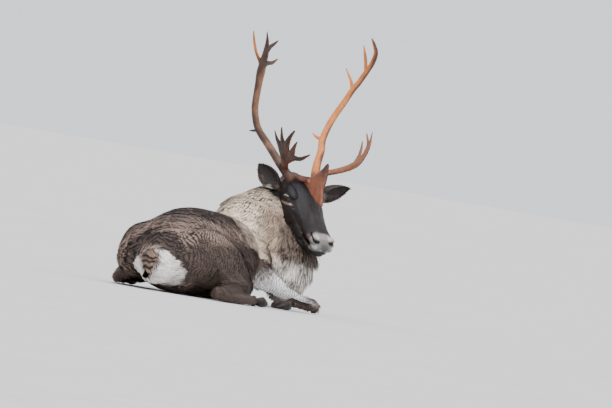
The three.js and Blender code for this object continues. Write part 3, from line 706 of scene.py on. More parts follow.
BACK = tones("#a58d80", "#2a211f")
SPINE = tones("#75645c", "#241d1c")
FLANK = tones("#483b35", "#332a26")
RING = tones("#332825", "#0d0a0a")
RUMP = tones("#fbf5f0", "#e6dcd6")
MANE = tones("#f5dec6", "#4a382c")
MANE_LOW = tones("#b3937b", "#3a2b23")
MANE_EDGE = tones("#f2e0d0", "#4d3d34")
BEARD = tones("#ebe6df", "#8d8379")
UNDER_JAW = tones("#54463e", "#211b19")
ARM = tones("#f6f1f2", "#5e5455")
LEG = tones("#4f3f38", "#261e1b")
TAIL = tones("#8a7264", "#211a19")
BEHIND_EYE = tones("#221c1b", "#131010")
# The white patch of the rump, left and up in the part's own frame, and the wide dark ring above the tail
RUMP_PATCH = {"middle": (-12, 104), "radii": (114, 69)}
TAIL_RING = {"height": 120, "centre": (104, 20), "radii": (62, 130)}
# Where the mane begins: how far forward, below which height its border slants, over which reach, how much
MANE_BORDER = {"forward": 566, "height": 261, "reach": 160, "slope": 3.06}


# How far most borders of the markings wander, in millimetres
RAGGED = 14


def back_markings(coat, x, y, z, wander):
    spine = step_between(z - 0.28 * np.abs(y) + RAGGED * wander, 250, 325)
    coat = mix(coat, SPINE, spine)
    around = np.hypot(y, z - TAIL_RING["height"]) + 12 * wander
    coat = mix(coat, RING, 0.9 * near((around, x), TAIL_RING["centre"], TAIL_RING["radii"]))
    flank = step_between(z + RAGGED * wander, 285, 215) * step_between(-y + RAGGED * wander, 85, 145)
    return mix(coat, FLANK, 0.9 * flank)


def mane_markings(coat, x, z, share, wander):
    below = np.clip(MANE_BORDER["height"] - z, 0, MANE_BORDER["reach"])
    border = MANE_BORDER["forward"] + below * MANE_BORDER["slope"] + 26 * wander
    mane = step_between(x, border - 14, border + 20) * (1 - share["cannon"])
    return mix(mix(coat, MANE, mane), MANE_EDGE, step_between(x, border + 70, border + 6) * mane)


def rump_markings(coat, x, y, z, share, wander):
    middle, radii = RUMP_PATCH["middle"], RUMP_PATCH["radii"]
    rump = np.hypot((y - middle[0]) / radii[0], (z - middle[1]) / radii[1]) + 0.07 * wander
    rump = step_between(rump, 1.08, 0.96) * step_between(x, 160, 130) * (1 - share["tail"])
    far_top = step_between(y, -18, 6) * step_between(z + RAGGED * wander, 112, 138)
    return mix(coat, RUMP, rump * (1 - far_top))


def jaw_markings(coat, points, share, beard, wander):
    """The darker mane low on the neck and under the jaw, and the dark hair behind each eye"""
    along, left, up = head_coordinates(points)
    low = step_between(left + 12 * wander, -225, -140) * step_between(along, 60, 150)
    low = low * np.maximum(share["neck"], share["throat"]) * (1 - 0.8 * beard)
    coat = mix(coat, MANE_LOW, 0.6 * low)
    collar = step_between(up + 10 * wander, -222, -186) * step_between(np.abs(left) + 8 * wander, 126, 90)
    collar = collar * step_between(along, 110, 170) * step_between(along, 345, 300)
    coat = mix(coat, UNDER_JAW, 0.9 * collar)
    behind_eye = near((along, np.abs(left), up + 6 * wander), (8, 98, -84), (64, 62, 58))
    return mix(coat, BEHIND_EYE, behind_eye)


def coat_colours(points, weights):
    """The pale and the dark colour of the coat on each point"""
    x, y, z = part_coordinates(points).T
    share = dict(zip(REGIONS, weights.T))
    wander = ripple(points, 0.09) + 0.5 * ripple(points, 0.03)
    coat = back_markings(np.tile(BACK, (1, len(points), 1)), x, y, z, wander)
    coat = mane_markings(coat, x, z, share, wander)
    coat = rump_markings(coat, x, y, z, share, wander)
    for region, pair in {"tail": TAIL, "forearm": ARM, "cannon": LEG}.items():
        coat = mix(coat, pair, share[region])
    beard = share["throat"] * step_between(z + RAGGED * wander, 262, 200)
    coat = mix(coat, BEARD, beard)
    coat = mix(coat, LEG, step_between(x, 870, 930) * share["forearm"])
    pale, dark = jaw_markings(coat, points, share, beard, wander)
    return ear_base_colours(points, pale), ear_base_colours(points, dark, 0.55)


# Patches round the root of each ear: outward from the crown, fore and height, radius and colour
EAR_PATCHES = [
    ((132, -40, -62), 30, "#c4b9ae"), ((98, -36, -48), 22, "#86705a"), ((92, -34, -88), 42, "#1a1616"),
]


def ear_base_colours(points, colours, shade=1.0):
    for sign in SIDES.values():
        for (outward, fore, height), radius, tone in EAR_PATCHES:
            away = np.linalg.norm(points - on_crown(sign * outward, fore, height), axis=1) / MM
            away = away + 5 * ripple(points, 0.02)
            colours = mix(colours, srgb(tone) * shade, 0.85 * step_between(away, radius, radius * 0.5))
    return colours


# Spots of the face as colour, share, middle and radii, both along, outward and up: on top of the muzzle, on
# its front, at the corner of the mouth, and before and on the eye's folds
TOP_SPOTS = [("#b3aeab", 1, (337, 34, -28), (22, 18, 22))]
FRONT_SPOTS = [
    ("#3e3e3e", 0.8, (384, 4, -46), (24, 24, 22)), ("#8b8d8c", 1, (372, 42, -54), (24, 18, 16)),
    ("#7d7f7e", 0.8, (386, 18, -57), (18, 13, 9)),
]
MOUTH_SPOTS = [("#765b55", 0.6, (314, 57, -46), (15, 14, 13))]
# Before the eye: a pale spot, near black in the gland's pit as dark skin with painted shade, a grey painted
# glint beside the pit, and a pink spot by the eye's corner
EYE_SPOTS = [
    ("#a5928a", 0.8, (124, 80, -47), (10, 12, 7)), ("#0f0d0e", 1, (147, 68, -50), (12, 14, 9)),
    ("#8b8b8d", 0.6, (152, 68, -45), (5, 12, 4)), ("#7d4c49", 0.7, (96, 87, -40), (5, 8, 5)),
]
FOLD_TONES = [(LOWER_FOLD[1:], "#6e5c55"), (UPPER_FOLD[1:4], "#7d7266")]


def with_spots(base, here, spots, within=1.0):
    for tone, share, middle, radii in spots:
        base = mix(base, srgb(tone), share * within * near(here, middle, radii))
    return base


def fur_colours(along, up, wander):
    """The dark hair of the head, with a bluish-grey painted sheen on the brow, and paler on cheek and jowl
    """
    base = np.tile(srgb("#1e191a"), (len(along), 1))
    base = mix(base, srgb("#332b2b"), 0.5 * step_between(wander, 0.2, 1.2))
    # A painted sheen: bluish grey on top of the brow
    brow = step_between(up + 6 * wander, -40, 0) * step_between(along, 190, 90)
    base = mix(base, srgb("#2e2d33"), 0.7 * brow)
    cheek = step_between(along + 8 * wander, 50, -10) * step_between(up, 0, -40)
    base = mix(base, srgb("#5a4a42"), 0.5 * cheek)
    return mix(base, srgb("#4f4540"), 0.6 * step_between(up + 5 * wander, -120, -150))


def muzzle_colours(base, here, wander):
    along, aside, up = here
    top = step_between(along + 3 * wander - 0.3 * np.clip(aside - 30, 0, 30), 311, 322)
    top = top * step_between(up, -60, -44) * step_between(along, 368, 350)
    base = with_spots(mix(base, srgb("#88817e"), top), here, TOP_SPOTS, top)
    lip = -64 - 0.55 * np.minimum(aside, 36) - 0.139 * np.clip(366 - along, 0, 120)
    front = step_between(along, 342, 356) * step_between(up, lip - 1, lip + 3)
    base = with_spots(mix(base, srgb("#6b6662"), 0.9 * front), here, FRONT_SPOTS, front)
    base = with_spots(base, here, MOUTH_SPOTS)
    lower = step_between(up, lip + 2, lip - 2) * step_between(along, 240, 275) * step_between(up, -126, -108)
    return mix(base, srgb("#121010"), lower)


def face_colours(points, marks):
    """Colours of the head: near black, with a pale muzzle, dark lips, painted shade in the nostrils and eye
    openings, pale folds at the eye
    """
    along, left, up = head_coordinates(points)
    here = (along, np.abs(left), up)
    hole, opening, rim = marks.T
    wander = ripple(points, 0.05) + 0.6 * ripple(points, 0.016)
    base = muzzle_colours(fur_colours(along, up, wander), here, wander)
    base = mix(base, srgb("#131011"), rim * step_between(np.abs(left), 60, 70))
    for rows, tone in FOLD_TONES:
        for a, l, u, radius in spline(rows, 14):
            base = mix(base, srgb(tone), 0.8 * near(here, (a, l + 2, u), (radius + 2, 12, radius + 1.5)))
    base = with_spots(base, here, EYE_SPOTS)
    # Painted shade: near black in the nostrils' holes and between the lids behind each eyeball
    base = mix(base, srgb("#070606"), np.maximum(hole, opening))
    return ear_base_colours(points, base)


# Materials

ROW_SOFTNESS = 0.18
# Sockets of a node that mixes colours
MIX_SHARE, MIX_FIRST, MIX_SECOND, MIX_RESULT = 0, 6, 7, 2


def new_material(name, roughness=0.8, specular=0.3, **settings):
    material = bpy.data.materials.new(name)
    material.use_nodes = True
    shader = material.node_tree.nodes["Principled BSDF"]
    shader.inputs["Roughness"].default_value = roughness
    shader.inputs["Specular IOR Level"].default_value = specular
    for key, value in settings.items():
        shader.inputs[key.replace("_", " ")].default_value = value
    return material, material.node_tree, shader


def add_node(tree, kind, **values):
    node = tree.nodes.new(kind)
    for key, value in values.items():
        if key in node.inputs:
            node.inputs[key].default_value = value
        else:
            setattr(node, key, value)
    return node


def noise(tree, scale, detail=4.0, stretch=(1, 1, 1), vector=None):
    """The value of a noise, in the part's own space unless another vector is given"""
    vector = vector or add_node(tree, "ShaderNodeTexCoord").outputs["Object"]
    mapping = add_node(tree, "ShaderNodeMapping", Scale=stretch)
    texture = add_node(tree, "ShaderNodeTexNoise", Scale=scale, Detail=detail)
    tree.links.new(vector, mapping.inputs["Vector"])
    tree.links.new(mapping.outputs["Vector"], texture.inputs["Vector"])
    return texture.outputs["Fac"]


def add_bump(tree, shader, height, strength, distance):
    bump = add_node(tree, "ShaderNodeBump", Strength=strength, Distance=distance)
    tree.links.new(height, bump.inputs["Height"])
    tree.links.new(bump.outputs["Normal"], shader.inputs["Normal"])


def map_range(tree, value, low, high, low_to=0.0, high_to=1.0, **settings):
    """The value carried from one span of numbers to another"""
    spans = {"From Min": low, "From Max": high, "To Min": low_to, "To Max": high_to}
    ramp = add_node(tree, "ShaderNodeMapRange", **spans, **settings)
    tree.links.new(value, ramp.inputs["Value"])
    return ramp.outputs["Result"]


def shade_by(tree, colour, value, low, high):
    """The colour times a factor between low and high, which follows a noise value"""
    shade = add_node(tree, "ShaderNodeVectorMath", operation="SCALE")
    tree.links.new(colour, shade.inputs[0])
    tree.links.new(map_range(tree, value, 0.3, 0.7, low, high), shade.inputs["Scale"])
    return shade.outputs[0]


def painted_material(name, roughness, specular, grain, bump, scale=420, stretch=(1, 1, 1), **settings):
    """Takes its colour from the mesh's own markings, broken up by fine grain"""
    material, tree, shader = new_material(name, roughness, specular, **settings)
    paint_node = add_node(tree, "ShaderNodeVertexColor", layer_name="Markings")
    value = noise(tree, scale, 4.0, stretch)
    shaded = shade_by(tree, paint_node.outputs["Color"], value, 1 - grain, 1 + grain)
    tree.links.new(shaded, shader.inputs["Base Color"])
    add_bump(tree, shader, value, 0.6, bump)
    return material


def subtract(tree, value, other):
    node = add_node(tree, "ShaderNodeMath", operation="SUBTRACT")
    tree.links.new(value, node.inputs[0])
    tree.links.new(other, node.inputs[1])
    return node.outputs[0]


def tuft_material(name, roughness, specular):
    """Dark towards the row before it, where painted shade under its tips falls on darker roots, and pale
    towards its tip, with fine hairs along each tuft
    """
    material, tree, shader = new_material(name, roughness, specular)
    pale, dark = (add_node(tree, "ShaderNodeVertexColor", layer_name=key) for key in ("Pale", "Dark"))
    row, shadow, strand = (add_node(tree, "ShaderNodeAttribute", attribute_name=key)
                           for key in ("Row", "Shadow", "Strand"))
    within = add_node(tree, "ShaderNodeMath", operation="FRACT")
    tree.links.new(row.outputs["Fac"], within.inputs[0])
    # Painted shade: from each row's edge up to its dark share the tuft takes its dark colour, over darker
    # roots
    past = subtract(tree, within.outputs[0], shadow.outputs["Fac"])
    ramp = map_range(tree, past, -ROW_SOFTNESS, ROW_SOFTNESS, interpolation_type="SMOOTHSTEP")
    blend = add_node(tree, "ShaderNodeMix", data_type="RGBA")
    tree.links.new(ramp, blend.inputs[MIX_SHARE])
    tree.links.new(dark.outputs["Color"], blend.inputs[MIX_FIRST])
    tree.links.new(pale.outputs["Color"], blend.inputs[MIX_SECOND])
    hairs = noise(tree, 1.0, 3.0, (0.9, 0.03, 1), strand.outputs["Vector"])
    shaded = shade_by(tree, blend.outputs[MIX_RESULT], hairs, 0.78, 1.16)
    tree.links.new(shaded, shader.inputs["Base Color"])
    add_bump(tree, shader, hairs, 0.4, 0.0008)
    return material


def paint(mesh, colours, name="Markings"):
    layer = mesh.color_attributes.new(name, "FLOAT_COLOR", "POINT")
    flat = np.ones((len(colours), 4), np.float32)
    flat[:, :3] = np.clip(colours, 0, 1)
    layer.data.foreach_set("color", flat.ravel())


COAT_MATERIAL = tuft_material("coat_hair", 0.62, 0.3)
FACE_MATERIAL = tuft_material("face_hair", 0.5, 0.4)
SKIN_MATERIAL = painted_material("skin_under_hair", 0.5, 0.35, 0.2, 0.0008)


# Tufts

def sample_surface(points, triangles, chance):
    """Random places over a mesh, chance giving how many grow on a square metre of each triangle"""
    a, b, c = (points[triangles[:, i]] for i in range(3))
    area = 0.5 * np.linalg.norm(np.cross(b - a, c - a), axis=1)
    count = np.floor(area * chance + RANDOM.uniform(size=len(area))).astype(int)
    chosen = np.repeat(np.arange(len(triangles)), count)
    u, v = RANDOM.uniform(size=(2, len(chosen)))
    over = u + v > 1
    u[over], v[over] = 1 - u[over], 1 - v[over]
    return chosen, np.stack([1 - u - v, u, v], 1)


def grown(mesh, chance, *values):
    """Random roots of hair on a mesh, their normals, and the values of its points there; chance gives, for
    each point, how many grow on a square metre"""
    points, triangles = points_of(mesh), triangles_of(mesh)
    chosen, shares = sample_surface(points, triangles, chance[triangles].mean(axis=1))
    root, normal, *carried = (np.einsum("nk,nk...->n...", shares, array[triangles[chosen]])
                              for array in (points, normals_of(mesh), *values))
    return root, unit(normal), *carried


class Unwrap:
    """A coarse unwrap of a shape, which gives each root its place on it"""

    def __init__(self, shapes):
        copy = remeshed("unwrap", "unwrap_shape", shapes)
        apply_modifiers(copy, ("TRIANGULATE", {}))
        bpy.context.view_layer.objects.active = copy
        copy.select_set(True)
        bpy.ops.object.mode_set(mode="EDIT")
        bpy.ops.mesh.select_all(action="SELECT")
        bpy.ops.uv.smart_project(angle_limit=1.15, island_margin=0.004)
        bpy.ops.object.mode_set(mode="OBJECT")
        self.corners = rows_of(copy.data.uv_layers.active.data, "uv", 2).reshape(-1, 3, 2)
        self.points, self.faces = points_of(copy.data), triangles_of(copy.data)
        self.tree = tree_of(self.points, self.faces)
        bpy.data.objects.remove(copy)

    def places(self, roots):
        """The place of each root on the unwrap, from its shares of the corners of the nearest triangle"""
        found = [self.tree.find_nearest(Vector(root)) for root in roots]
        face = np.array([hit[2] for hit in found])
        hits = np.array([hit[0] for hit in found])
        a, b, c = (self.points[self.faces[face, i]] for i in range(3))
        v0, v1, v2 = b - a, c - a, hits - a
        d00, d01, d11, d20, d21 = (np.sum(p * q, axis=1) for p, q in
                                   ((v0, v0), (v0, v1), (v1, v1), (v2, v0), (v2, v1)))
        base = np.maximum(d00 * d11 - d01 * d01, 1e-18)
        v, w = (d11 * d20 - d01 * d21) / base, (d00 * d21 - d01 * d20) / base
        return np.einsum("nk,nkc->nc", np.stack([1 - v - w, v, w], 1), self.corners[face])


# Shares of a tuft from root to tip: way along, rise, width and thickness; the last row is its point. Then
# the size of a tuft's patch on the unwrap, how round it is shaded and how high its ridge is for its width.
LONG_TUFT = np.array([[0, -0.2, 0.6, 0.8], [0.42, 0.68, 1, 1], [0.92, 1, 0.85, 0.8], [1, 0.97, 0, 0]])
SHORT_TUFT = np.array([[0, -0.3, 0.8, 1], [0.86, 0.92, 0.9, 0.9], [1, 0.96, 0, 0]])
SHORT_RINGS = [0, 0, 0, 1, 1, 1, 2]
PATCH = 0.003
ROUNDNESS = 0.32
RIDGE = 0.11
HAIR_CLEARANCE = 0.0005


def tuft_points(tufts, profile):
    """The points of each tuft with, at each, its place across the tuft and its way along it"""
    side = unit(np.cross(tufts["normal"], tufts["lie"]))
    points, normals, places = [], [], []
    for way, rise, wide, thick in profile:
        centre = (
            tufts["root"]
            + tufts["lie"] * (tufts["length"] * way)[:, None]
            + tufts["normal"] * (tufts["rise"] * rise)[:, None]
            + side * (tufts["sway"] * way**2)[:, None]
        )
        for across in (-1, 0, 1) if wide > 0 else (0,):
            half = (tufts["width"] * wide / 2 * across)[:, None]
            ridge = (tufts["width"] * RIDGE * thick * (across == 0))[:, None]
            points.append(centre + side * half + tufts["normal"] * ridge)
            normals.append(unit(tufts["normal"] + side * (ROUNDNESS * across)))
            places.append((across, way))
    return np.stack(points, 1), np.stack(normals, 1), np.array(places, float)


def tuft_faces(rings):
    faces = [(0, 1, 2)]
    for k in range(rings - 1):
        for i in range(3):
            a, b = 3 * k + i, 3 * k + (i + 1) % 3
            faces += [(a, b + 3, b), (a, a + 3, b + 3)]
    last = 3 * (rings - 1)
    return faces + [(last + i, 3 * rings, last + (i + 1) % 3) for i in range(3)]


def hair_solid(name, points, faces, normals):
    mesh = bpy.data.meshes.new(name)
    mesh.vertices.add(len(points))
    mesh.vertices.foreach_set("co", points.astype(np.float32).ravel())
    mesh.loops.add(faces.size)
    mesh.loops.foreach_set("vertex_index", faces.astype(np.int32).ravel())
    mesh.polygons.add(len(faces))
    mesh.polygons.foreach_set("loop_start", np.arange(0, faces.size, 3, dtype=np.int32))
    mesh.update(calc_edges=True)
    mesh.normals_split_custom_set_from_vertices(normals)
    return mesh


def write_values(mesh, name, values):
    layer = mesh.attributes.new(name, "FLOAT", "POINT")
    layer.data.foreach_set("value", values.astype(np.float32).ravel())


def tuft_mesh(name, tufts, profile, unwrap, material, slot):
    """One mesh of flat, bent, tapered tufts, each a closed solid of three sides; tufts holds arrays"""
    points, normals, places = tuft_points(tufts, profile)
    points[:, :, 2] = np.maximum(points[:, :, 2], HAIR_CLEARANCE)
    count, per_tuft = points.shape[:2]
    faces = np.array(tuft_faces(len(profile) - 1))
    faces = (faces[None] + (np.arange(count) * per_tuft)[:, None, None]).reshape(-1, 3)
    mesh = hair_solid(name, points.reshape(-1, 3), faces, normals.reshape(-1, 3))
    for key in ("Pale", "Dark"):
        paint(mesh, np.repeat(tufts[key], per_tuft, axis=0), key)
    write_values(mesh, "Row", tufts["row"])
    write_values(mesh, "Shadow", np.repeat(tufts["shadow"], per_tuft))
    across, way = places.T
    strand = np.zeros((count, per_tuft, 3), np.float32)
    strand[:, :, 0] = RANDOM.uniform(0, 400, count)[:, None] + tufts["width"][:, None] * across / 2 / MM
    strand[:, :, 1] = tufts["length"][:, None] * way / MM
    mesh.attributes.new("Strand", "FLOAT_VECTOR", "POINT").data.foreach_set("vector", strand.ravel())
    spots = unwrap.places(tufts["root"])[:, None] + np.stack([across, 2 * way - 1], 1) * PATCH / 2
    corners = spots.reshape(-1, 2)[faces.ravel()].astype(np.float32)
    mesh.uv_layers.new(name="OFBake").data.foreach_set("uv", corners.ravel())
    mesh.materials.append(material)
    return add_piece(add_object(name, mesh), slot)


PIECE_LIMIT = 190000


def add_coat(name, tufts, profile, unwrap, material, slot):
    """Splits many tufts into pieces that each stay below the triangle limit"""
    pieces = math.ceil(len(tufts["root"]) * len(tuft_faces(len(profile) - 1)) / PIECE_LIMIT)
    order = np.argsort(tufts["root"][:, 0])
    for k, part in enumerate(np.array_split(order, pieces)):
        chosen = {key: values[part] for key, values in tufts.items()}
        tuft_mesh(f"{name}_{k + 1}", chosen, profile, unwrap, material, slot)


# The mane's hair clumps into strands along the neck and down the throat; each field's middle line, the mean
# distance of the coat from it, and the width of a strand
STRANDS = {
    "neck": (place(840, -10, 232), place(1076, -104, 476), 130, 9.5),
    "throat": (place(985, -200, 150), place(1036, -158, 385), 85, 11.0),
}


def strand_phase(points, weights):
    """Counts the strands of the mane round neck and throat; whole numbers are the partings, whose dark
    strokes are painted shade over darker roots
    """
    total = np.zeros(len(points))
    for region, (start, end, reach, width) in STRANDS.items():
        axis = unit(end - start)
        aside = unit(np.cross(axis, UP))
        away = points - start
        turn = np.arctan2(away @ np.cross(aside, axis), away @ aside)
        total += weights[:, REGIONS.index(region)] * turn * reach / width
    return total + 0.7 * ripple(points, 0.06) + 0.4 * ripple(points, 0.024)


# How long the dark strokes of the mane, painted shade in its partings over darker roots, stay unbroken, how
# far roots are drawn to the edge of their row, in the mane and elsewhere, the step over which rows are
# counted, and the hairs that stand out
STROKE_BREAK = 0.03
ROW_SNAP = {"mane": 0.3, "coat": 0.9}
ROW_STEP = 0.003
STRAY = {"share": 0.04, "longer": 1.15}


def rows_per_metre(points, lie, weights):
    """How fast the rows of hair follow each other along the lie"""
    ahead, behind = (row_phase(points + lie * step, weights) for step in (ROW_STEP, -ROW_STEP))
    usual = 1 / (coat_value(weights, "rows") * MM)
    return np.clip((ahead - behind) / (2 * ROW_STEP), 0.6 * usual, 1.7 * usual)


def with_rows(tufts, region, chosen, profile, field):
    """The chosen tufts, with the count of rows or strands at each of their points"""
    group = {key: values[chosen] for key, values in tufts.items()}
    points, _, places = tuft_points(group, profile)
    spread = np.repeat(region[chosen], len(places), axis=0)
    group["row"] = field(points.reshape(-1, 3), spread).reshape(-1, len(places))
    return group


def body_tufts(body, weights):
    """Tufts of the whole coat below the head, as arrays, first those of neck and throat, then the others"""
    chance = coat_value(weights, "crowd") / (coat_value(weights, "width") * MM) ** 2
    root, normal, region = grown(body.data, chance, weights)
    count = len(root)
    neck, throat = (region[:, REGIONS.index(name)] for name in ("neck", "throat"))
    mane = neck + throat > 0.5
    direction = lie_of(root, region, normal)
    lie = laid(direction, normal)
    phase, pace = row_phase(root, region), rows_per_metre(root, lie, region)
    snap = np.where(mane, ROW_SNAP["mane"], ROW_SNAP["coat"])
    root = root - lie * ((phase - np.floor(phase)) * snap / pace)[:, None]
    length = coat_value(region, "spans") / pace * RANDOM.uniform(0.97, 1.03, count)
    flow = flatness(direction, normal)
    length *= flow
    length[RANDOM.uniform(size=count) < STRAY["share"]] *= STRAY["longer"]
    nape = neck * step_between(normal[:, 2], 0.1, 0.7)
    rise = flow * coat_value(region, "rise") * MM * RANDOM.uniform(0.92, 1.05, count) * (1 + 0.3 * nape)
    lie = swung(lie, normal, 0.22 * ripple(root, 0.05) + 0.1 * RANDOM.normal(size=count))
    pale, dark = coat_colours(root + lie * (0.6 * length)[:, None], region)
    shade = RANDOM.uniform(0.86, 1.12, count) * (1 + 0.1 * ripple(root, 0.025))
    tufts = {
        "root": root, "normal": normal, "lie": lie, "length": length, "rise": rise,
        "width": coat_value(region, "width") * MM * RANDOM.uniform(0.8, 1.25, count),
        "sway": length * RANDOM.normal(0, 0.05, count),
        "shadow": coat_value(region, "dark") * flow * (1 + 0.35 * ripple(root, 0.07)),
        "Pale": pale * shade[:, None], "Dark": dark,
    }
    strokes = np.clip(0.8 + 0.7 * ripple(root, STROKE_BREAK), 0.15, 1.3)
    tufts["shadow"] *= np.where(mane, strokes, 1)
    long_tufts = with_rows(tufts, region, mane, LONG_TUFT, strand_phase)
    return long_tufts, with_rows(tufts, region, ~mane, SHORT_TUFT, row_phase)


FACE_CROWD = 84000
EAR_CROWD = 110000
EAR_OUTSIDE, EAR_INSIDE, EAR_RIM = srgb("#2c2625"), srgb("#352d2b"), srgb("#5c4f49")
EAR_SKIN = srgb("#2a2422")


def bare_skin(here, marks):
    """Where the head grows no hair: nostrils, lids, the folds at the eye and the front of the muzzle"""
    along, aside, up = here
    bare = np.maximum(marks[:, 0], marks[:, 2] * (aside > 60))
    for a, l, u, radius in (*spline(LOWER_FOLD, 8), *spline(UPPER_FOLD, 6)):
        bare = np.maximum(bare, near(here, (a, l, u), (radius + 6, 14, radius + 6)))
    return np.maximum(bare, step_between(along, 312, 326) * step_between(up, -100, -92))


def face_tufts(head, marks):
    """Short hair of the head, finest round the eyes and long under the jaw; the nose and lids are bare"""
    points = points_of(head.data)
    along, left, up = head_coordinates(points)
    here = (along, np.abs(left), up)
    fine = np.maximum(step_between(along, 250, 330), near(here, (90, 90, -52), (62, 60, 48)))
    jowl = step_between(up, -118, -152) * step_between(along, 330, 250)
    high = (points - POLL)[:, 2] > -0.06
    length = 11 + 22 * jowl + np.where(high, -4, 9) * step_between(along, 40, -10) - 6 * fine
    chance = (1 - bare_skin(here, marks)) * (1 + 0.8 * fine) * FACE_CROWD
    chance = chance * np.maximum(step_between(along, -50, -20), high)
    chance[((POLL - points) @ FACING > 0.05) & ~high] = 0
    root, normal, length, marked = grown(head.data, chance, length, marks)
    _, left, up = head_coordinates(root)
    low = step_between(up, -60, -130)
    direction = -HEAD_ALONG - (0.25 + 0.9 * low)[:, None] * UP + (0.35 * np.sign(left))[:, None] * HEAD_LEFT
    return short_hair(root, normal, direction, length * MM, face_colours(root, marked), (0.0013, 0.06))


def short_hair(root, normal, direction, length, colours, width):
    """Tufts of short hair, their width given as a number and a share of their length"""
    count = len(root)
    lie = swung(laid(direction, normal), normal, 0.2 * ripple(root, 0.03) + 0.12 * RANDOM.normal(size=count))
    length = length * RANDOM.uniform(0.8, 1.15, count)
    return {
        "root": root, "normal": normal, "lie": lie, "length": length, "rise": 0.1 * length + 0.0006,
        "width": (width[0] + width[1] * length) * RANDOM.uniform(0.85, 1.25, count),
        "sway": length * RANDOM.normal(0, 0.08, count), "shadow": np.full(count, 0.15),
        "row": np.tile(0.98 * SHORT_TUFT[SHORT_RINGS, 0], (count, 1)),
        "Pale": colours * RANDOM.uniform(0.85, 1.18, count)[:, None], "Dark": colours * 0.7,
    }


def ear_tufts(side):
    """Hair along an ear, longer in its cup and paler on its rim"""
    obj = mesh_object("ear_sample", *ear_shape(side))
    apply_modifiers(obj, ("TRIANGULATE", {}))
    root, normal = grown(obj.data, np.full(len(obj.data.vertices), float(EAR_CROWD)))
    bpy.data.objects.remove(obj)
    root_point, tip, along, opens, across = ear_frame(side)
    count = len(root)
    share = (root - root_point) @ along / np.linalg.norm(tip - root_point)
    inside = step_between(normal @ opens, -0.2, 0.4)
    aside = (root - root_point) @ across
    rim = step_between(np.abs(aside) / MM + 8 * ripple(root, 0.02), 26, 36) * step_between(share, 0.05, 0.2)
    direction = along + across * (0.3 * np.sign(aside))[:, None]
    length = (5 + 5 * inside * RANDOM.uniform(0, 1, count) + 1.5 * rim) * MM
    colours = mix(mix(np.tile(EAR_OUTSIDE, (count, 1)), EAR_INSIDE, 0.7 * inside), EAR_RIM, 0.7 * rim)
    colours = mix(ear_base_colours(root, colours), colours, step_between(share, 0.1, 0.35))
    return short_hair(root, normal, direction, length, colours, (0.0014, 0.05))


SKIN_NODES = [*FLESH, "neck", "throat_mane", "head", "jaw", "ear_right", "ear_left"]


def make_skin():
    """One skin for body, head and ears, with what the coat needs to grow on it"""
    body, weights = make_body()
    head, marks = make_head()
    shapes = [shape_of(body.data), shape_of(head.data), *(ear_shape(side) for side in SIDES)]
    skin = mesh_object("skin", *joined(shapes))
    body_points, head_points, *ear_points = (points for points, _ in shapes)
    pale, dark = coat_colours(body_points, weights)
    ears = [ear_base_colours(points, np.tile(EAR_SKIN, (len(points), 1))) for points in ear_points]
    paint(skin.data, np.vstack([mix(dark, pale, 0.35), face_colours(head_points, marks), *ears]))
    skin.data.materials.append(SKIN_MATERIAL)
    add_piece(skin, "coat", *SKIN_NODES)
    return body, weights, head, marks, Unwrap(shapes)


# Antlers: all points are outward from the stump, forward and up, with their half-width

STUMP_SPREAD = 62
BEAMS = {
    "right": [
        (2, 6, -6, 21), (17, -22, 22, 20), (35, -50, 52, 18), (57, -85, 95, 17), (84, -115, 137, 16),
        (112, -135, 176, 15.5), (129, -143, 215, 15), (147, -140, 275, 15), (169, -105, 369, 16),
        (185, -76, 425, 19), (200, -42, 478, 15),
    ],
    "left": [
        (2, 6, -6, 21), (12, -24, 30, 20), (28, -50, 72, 17.5), (55, -80, 129, 16), (73, -113, 178, 15.5),
        (98, -130, 231, 14.5), (122, -132, 283, 14), (151, -115, 353, 13.5), (166, -92, 407, 13),
        (180, -72, 445, 12.5), (194, -42, 500, 12),
    ],
}
BEZ_STEM = [(20, -30, 34, 22), (58, 30, 60, 21)]
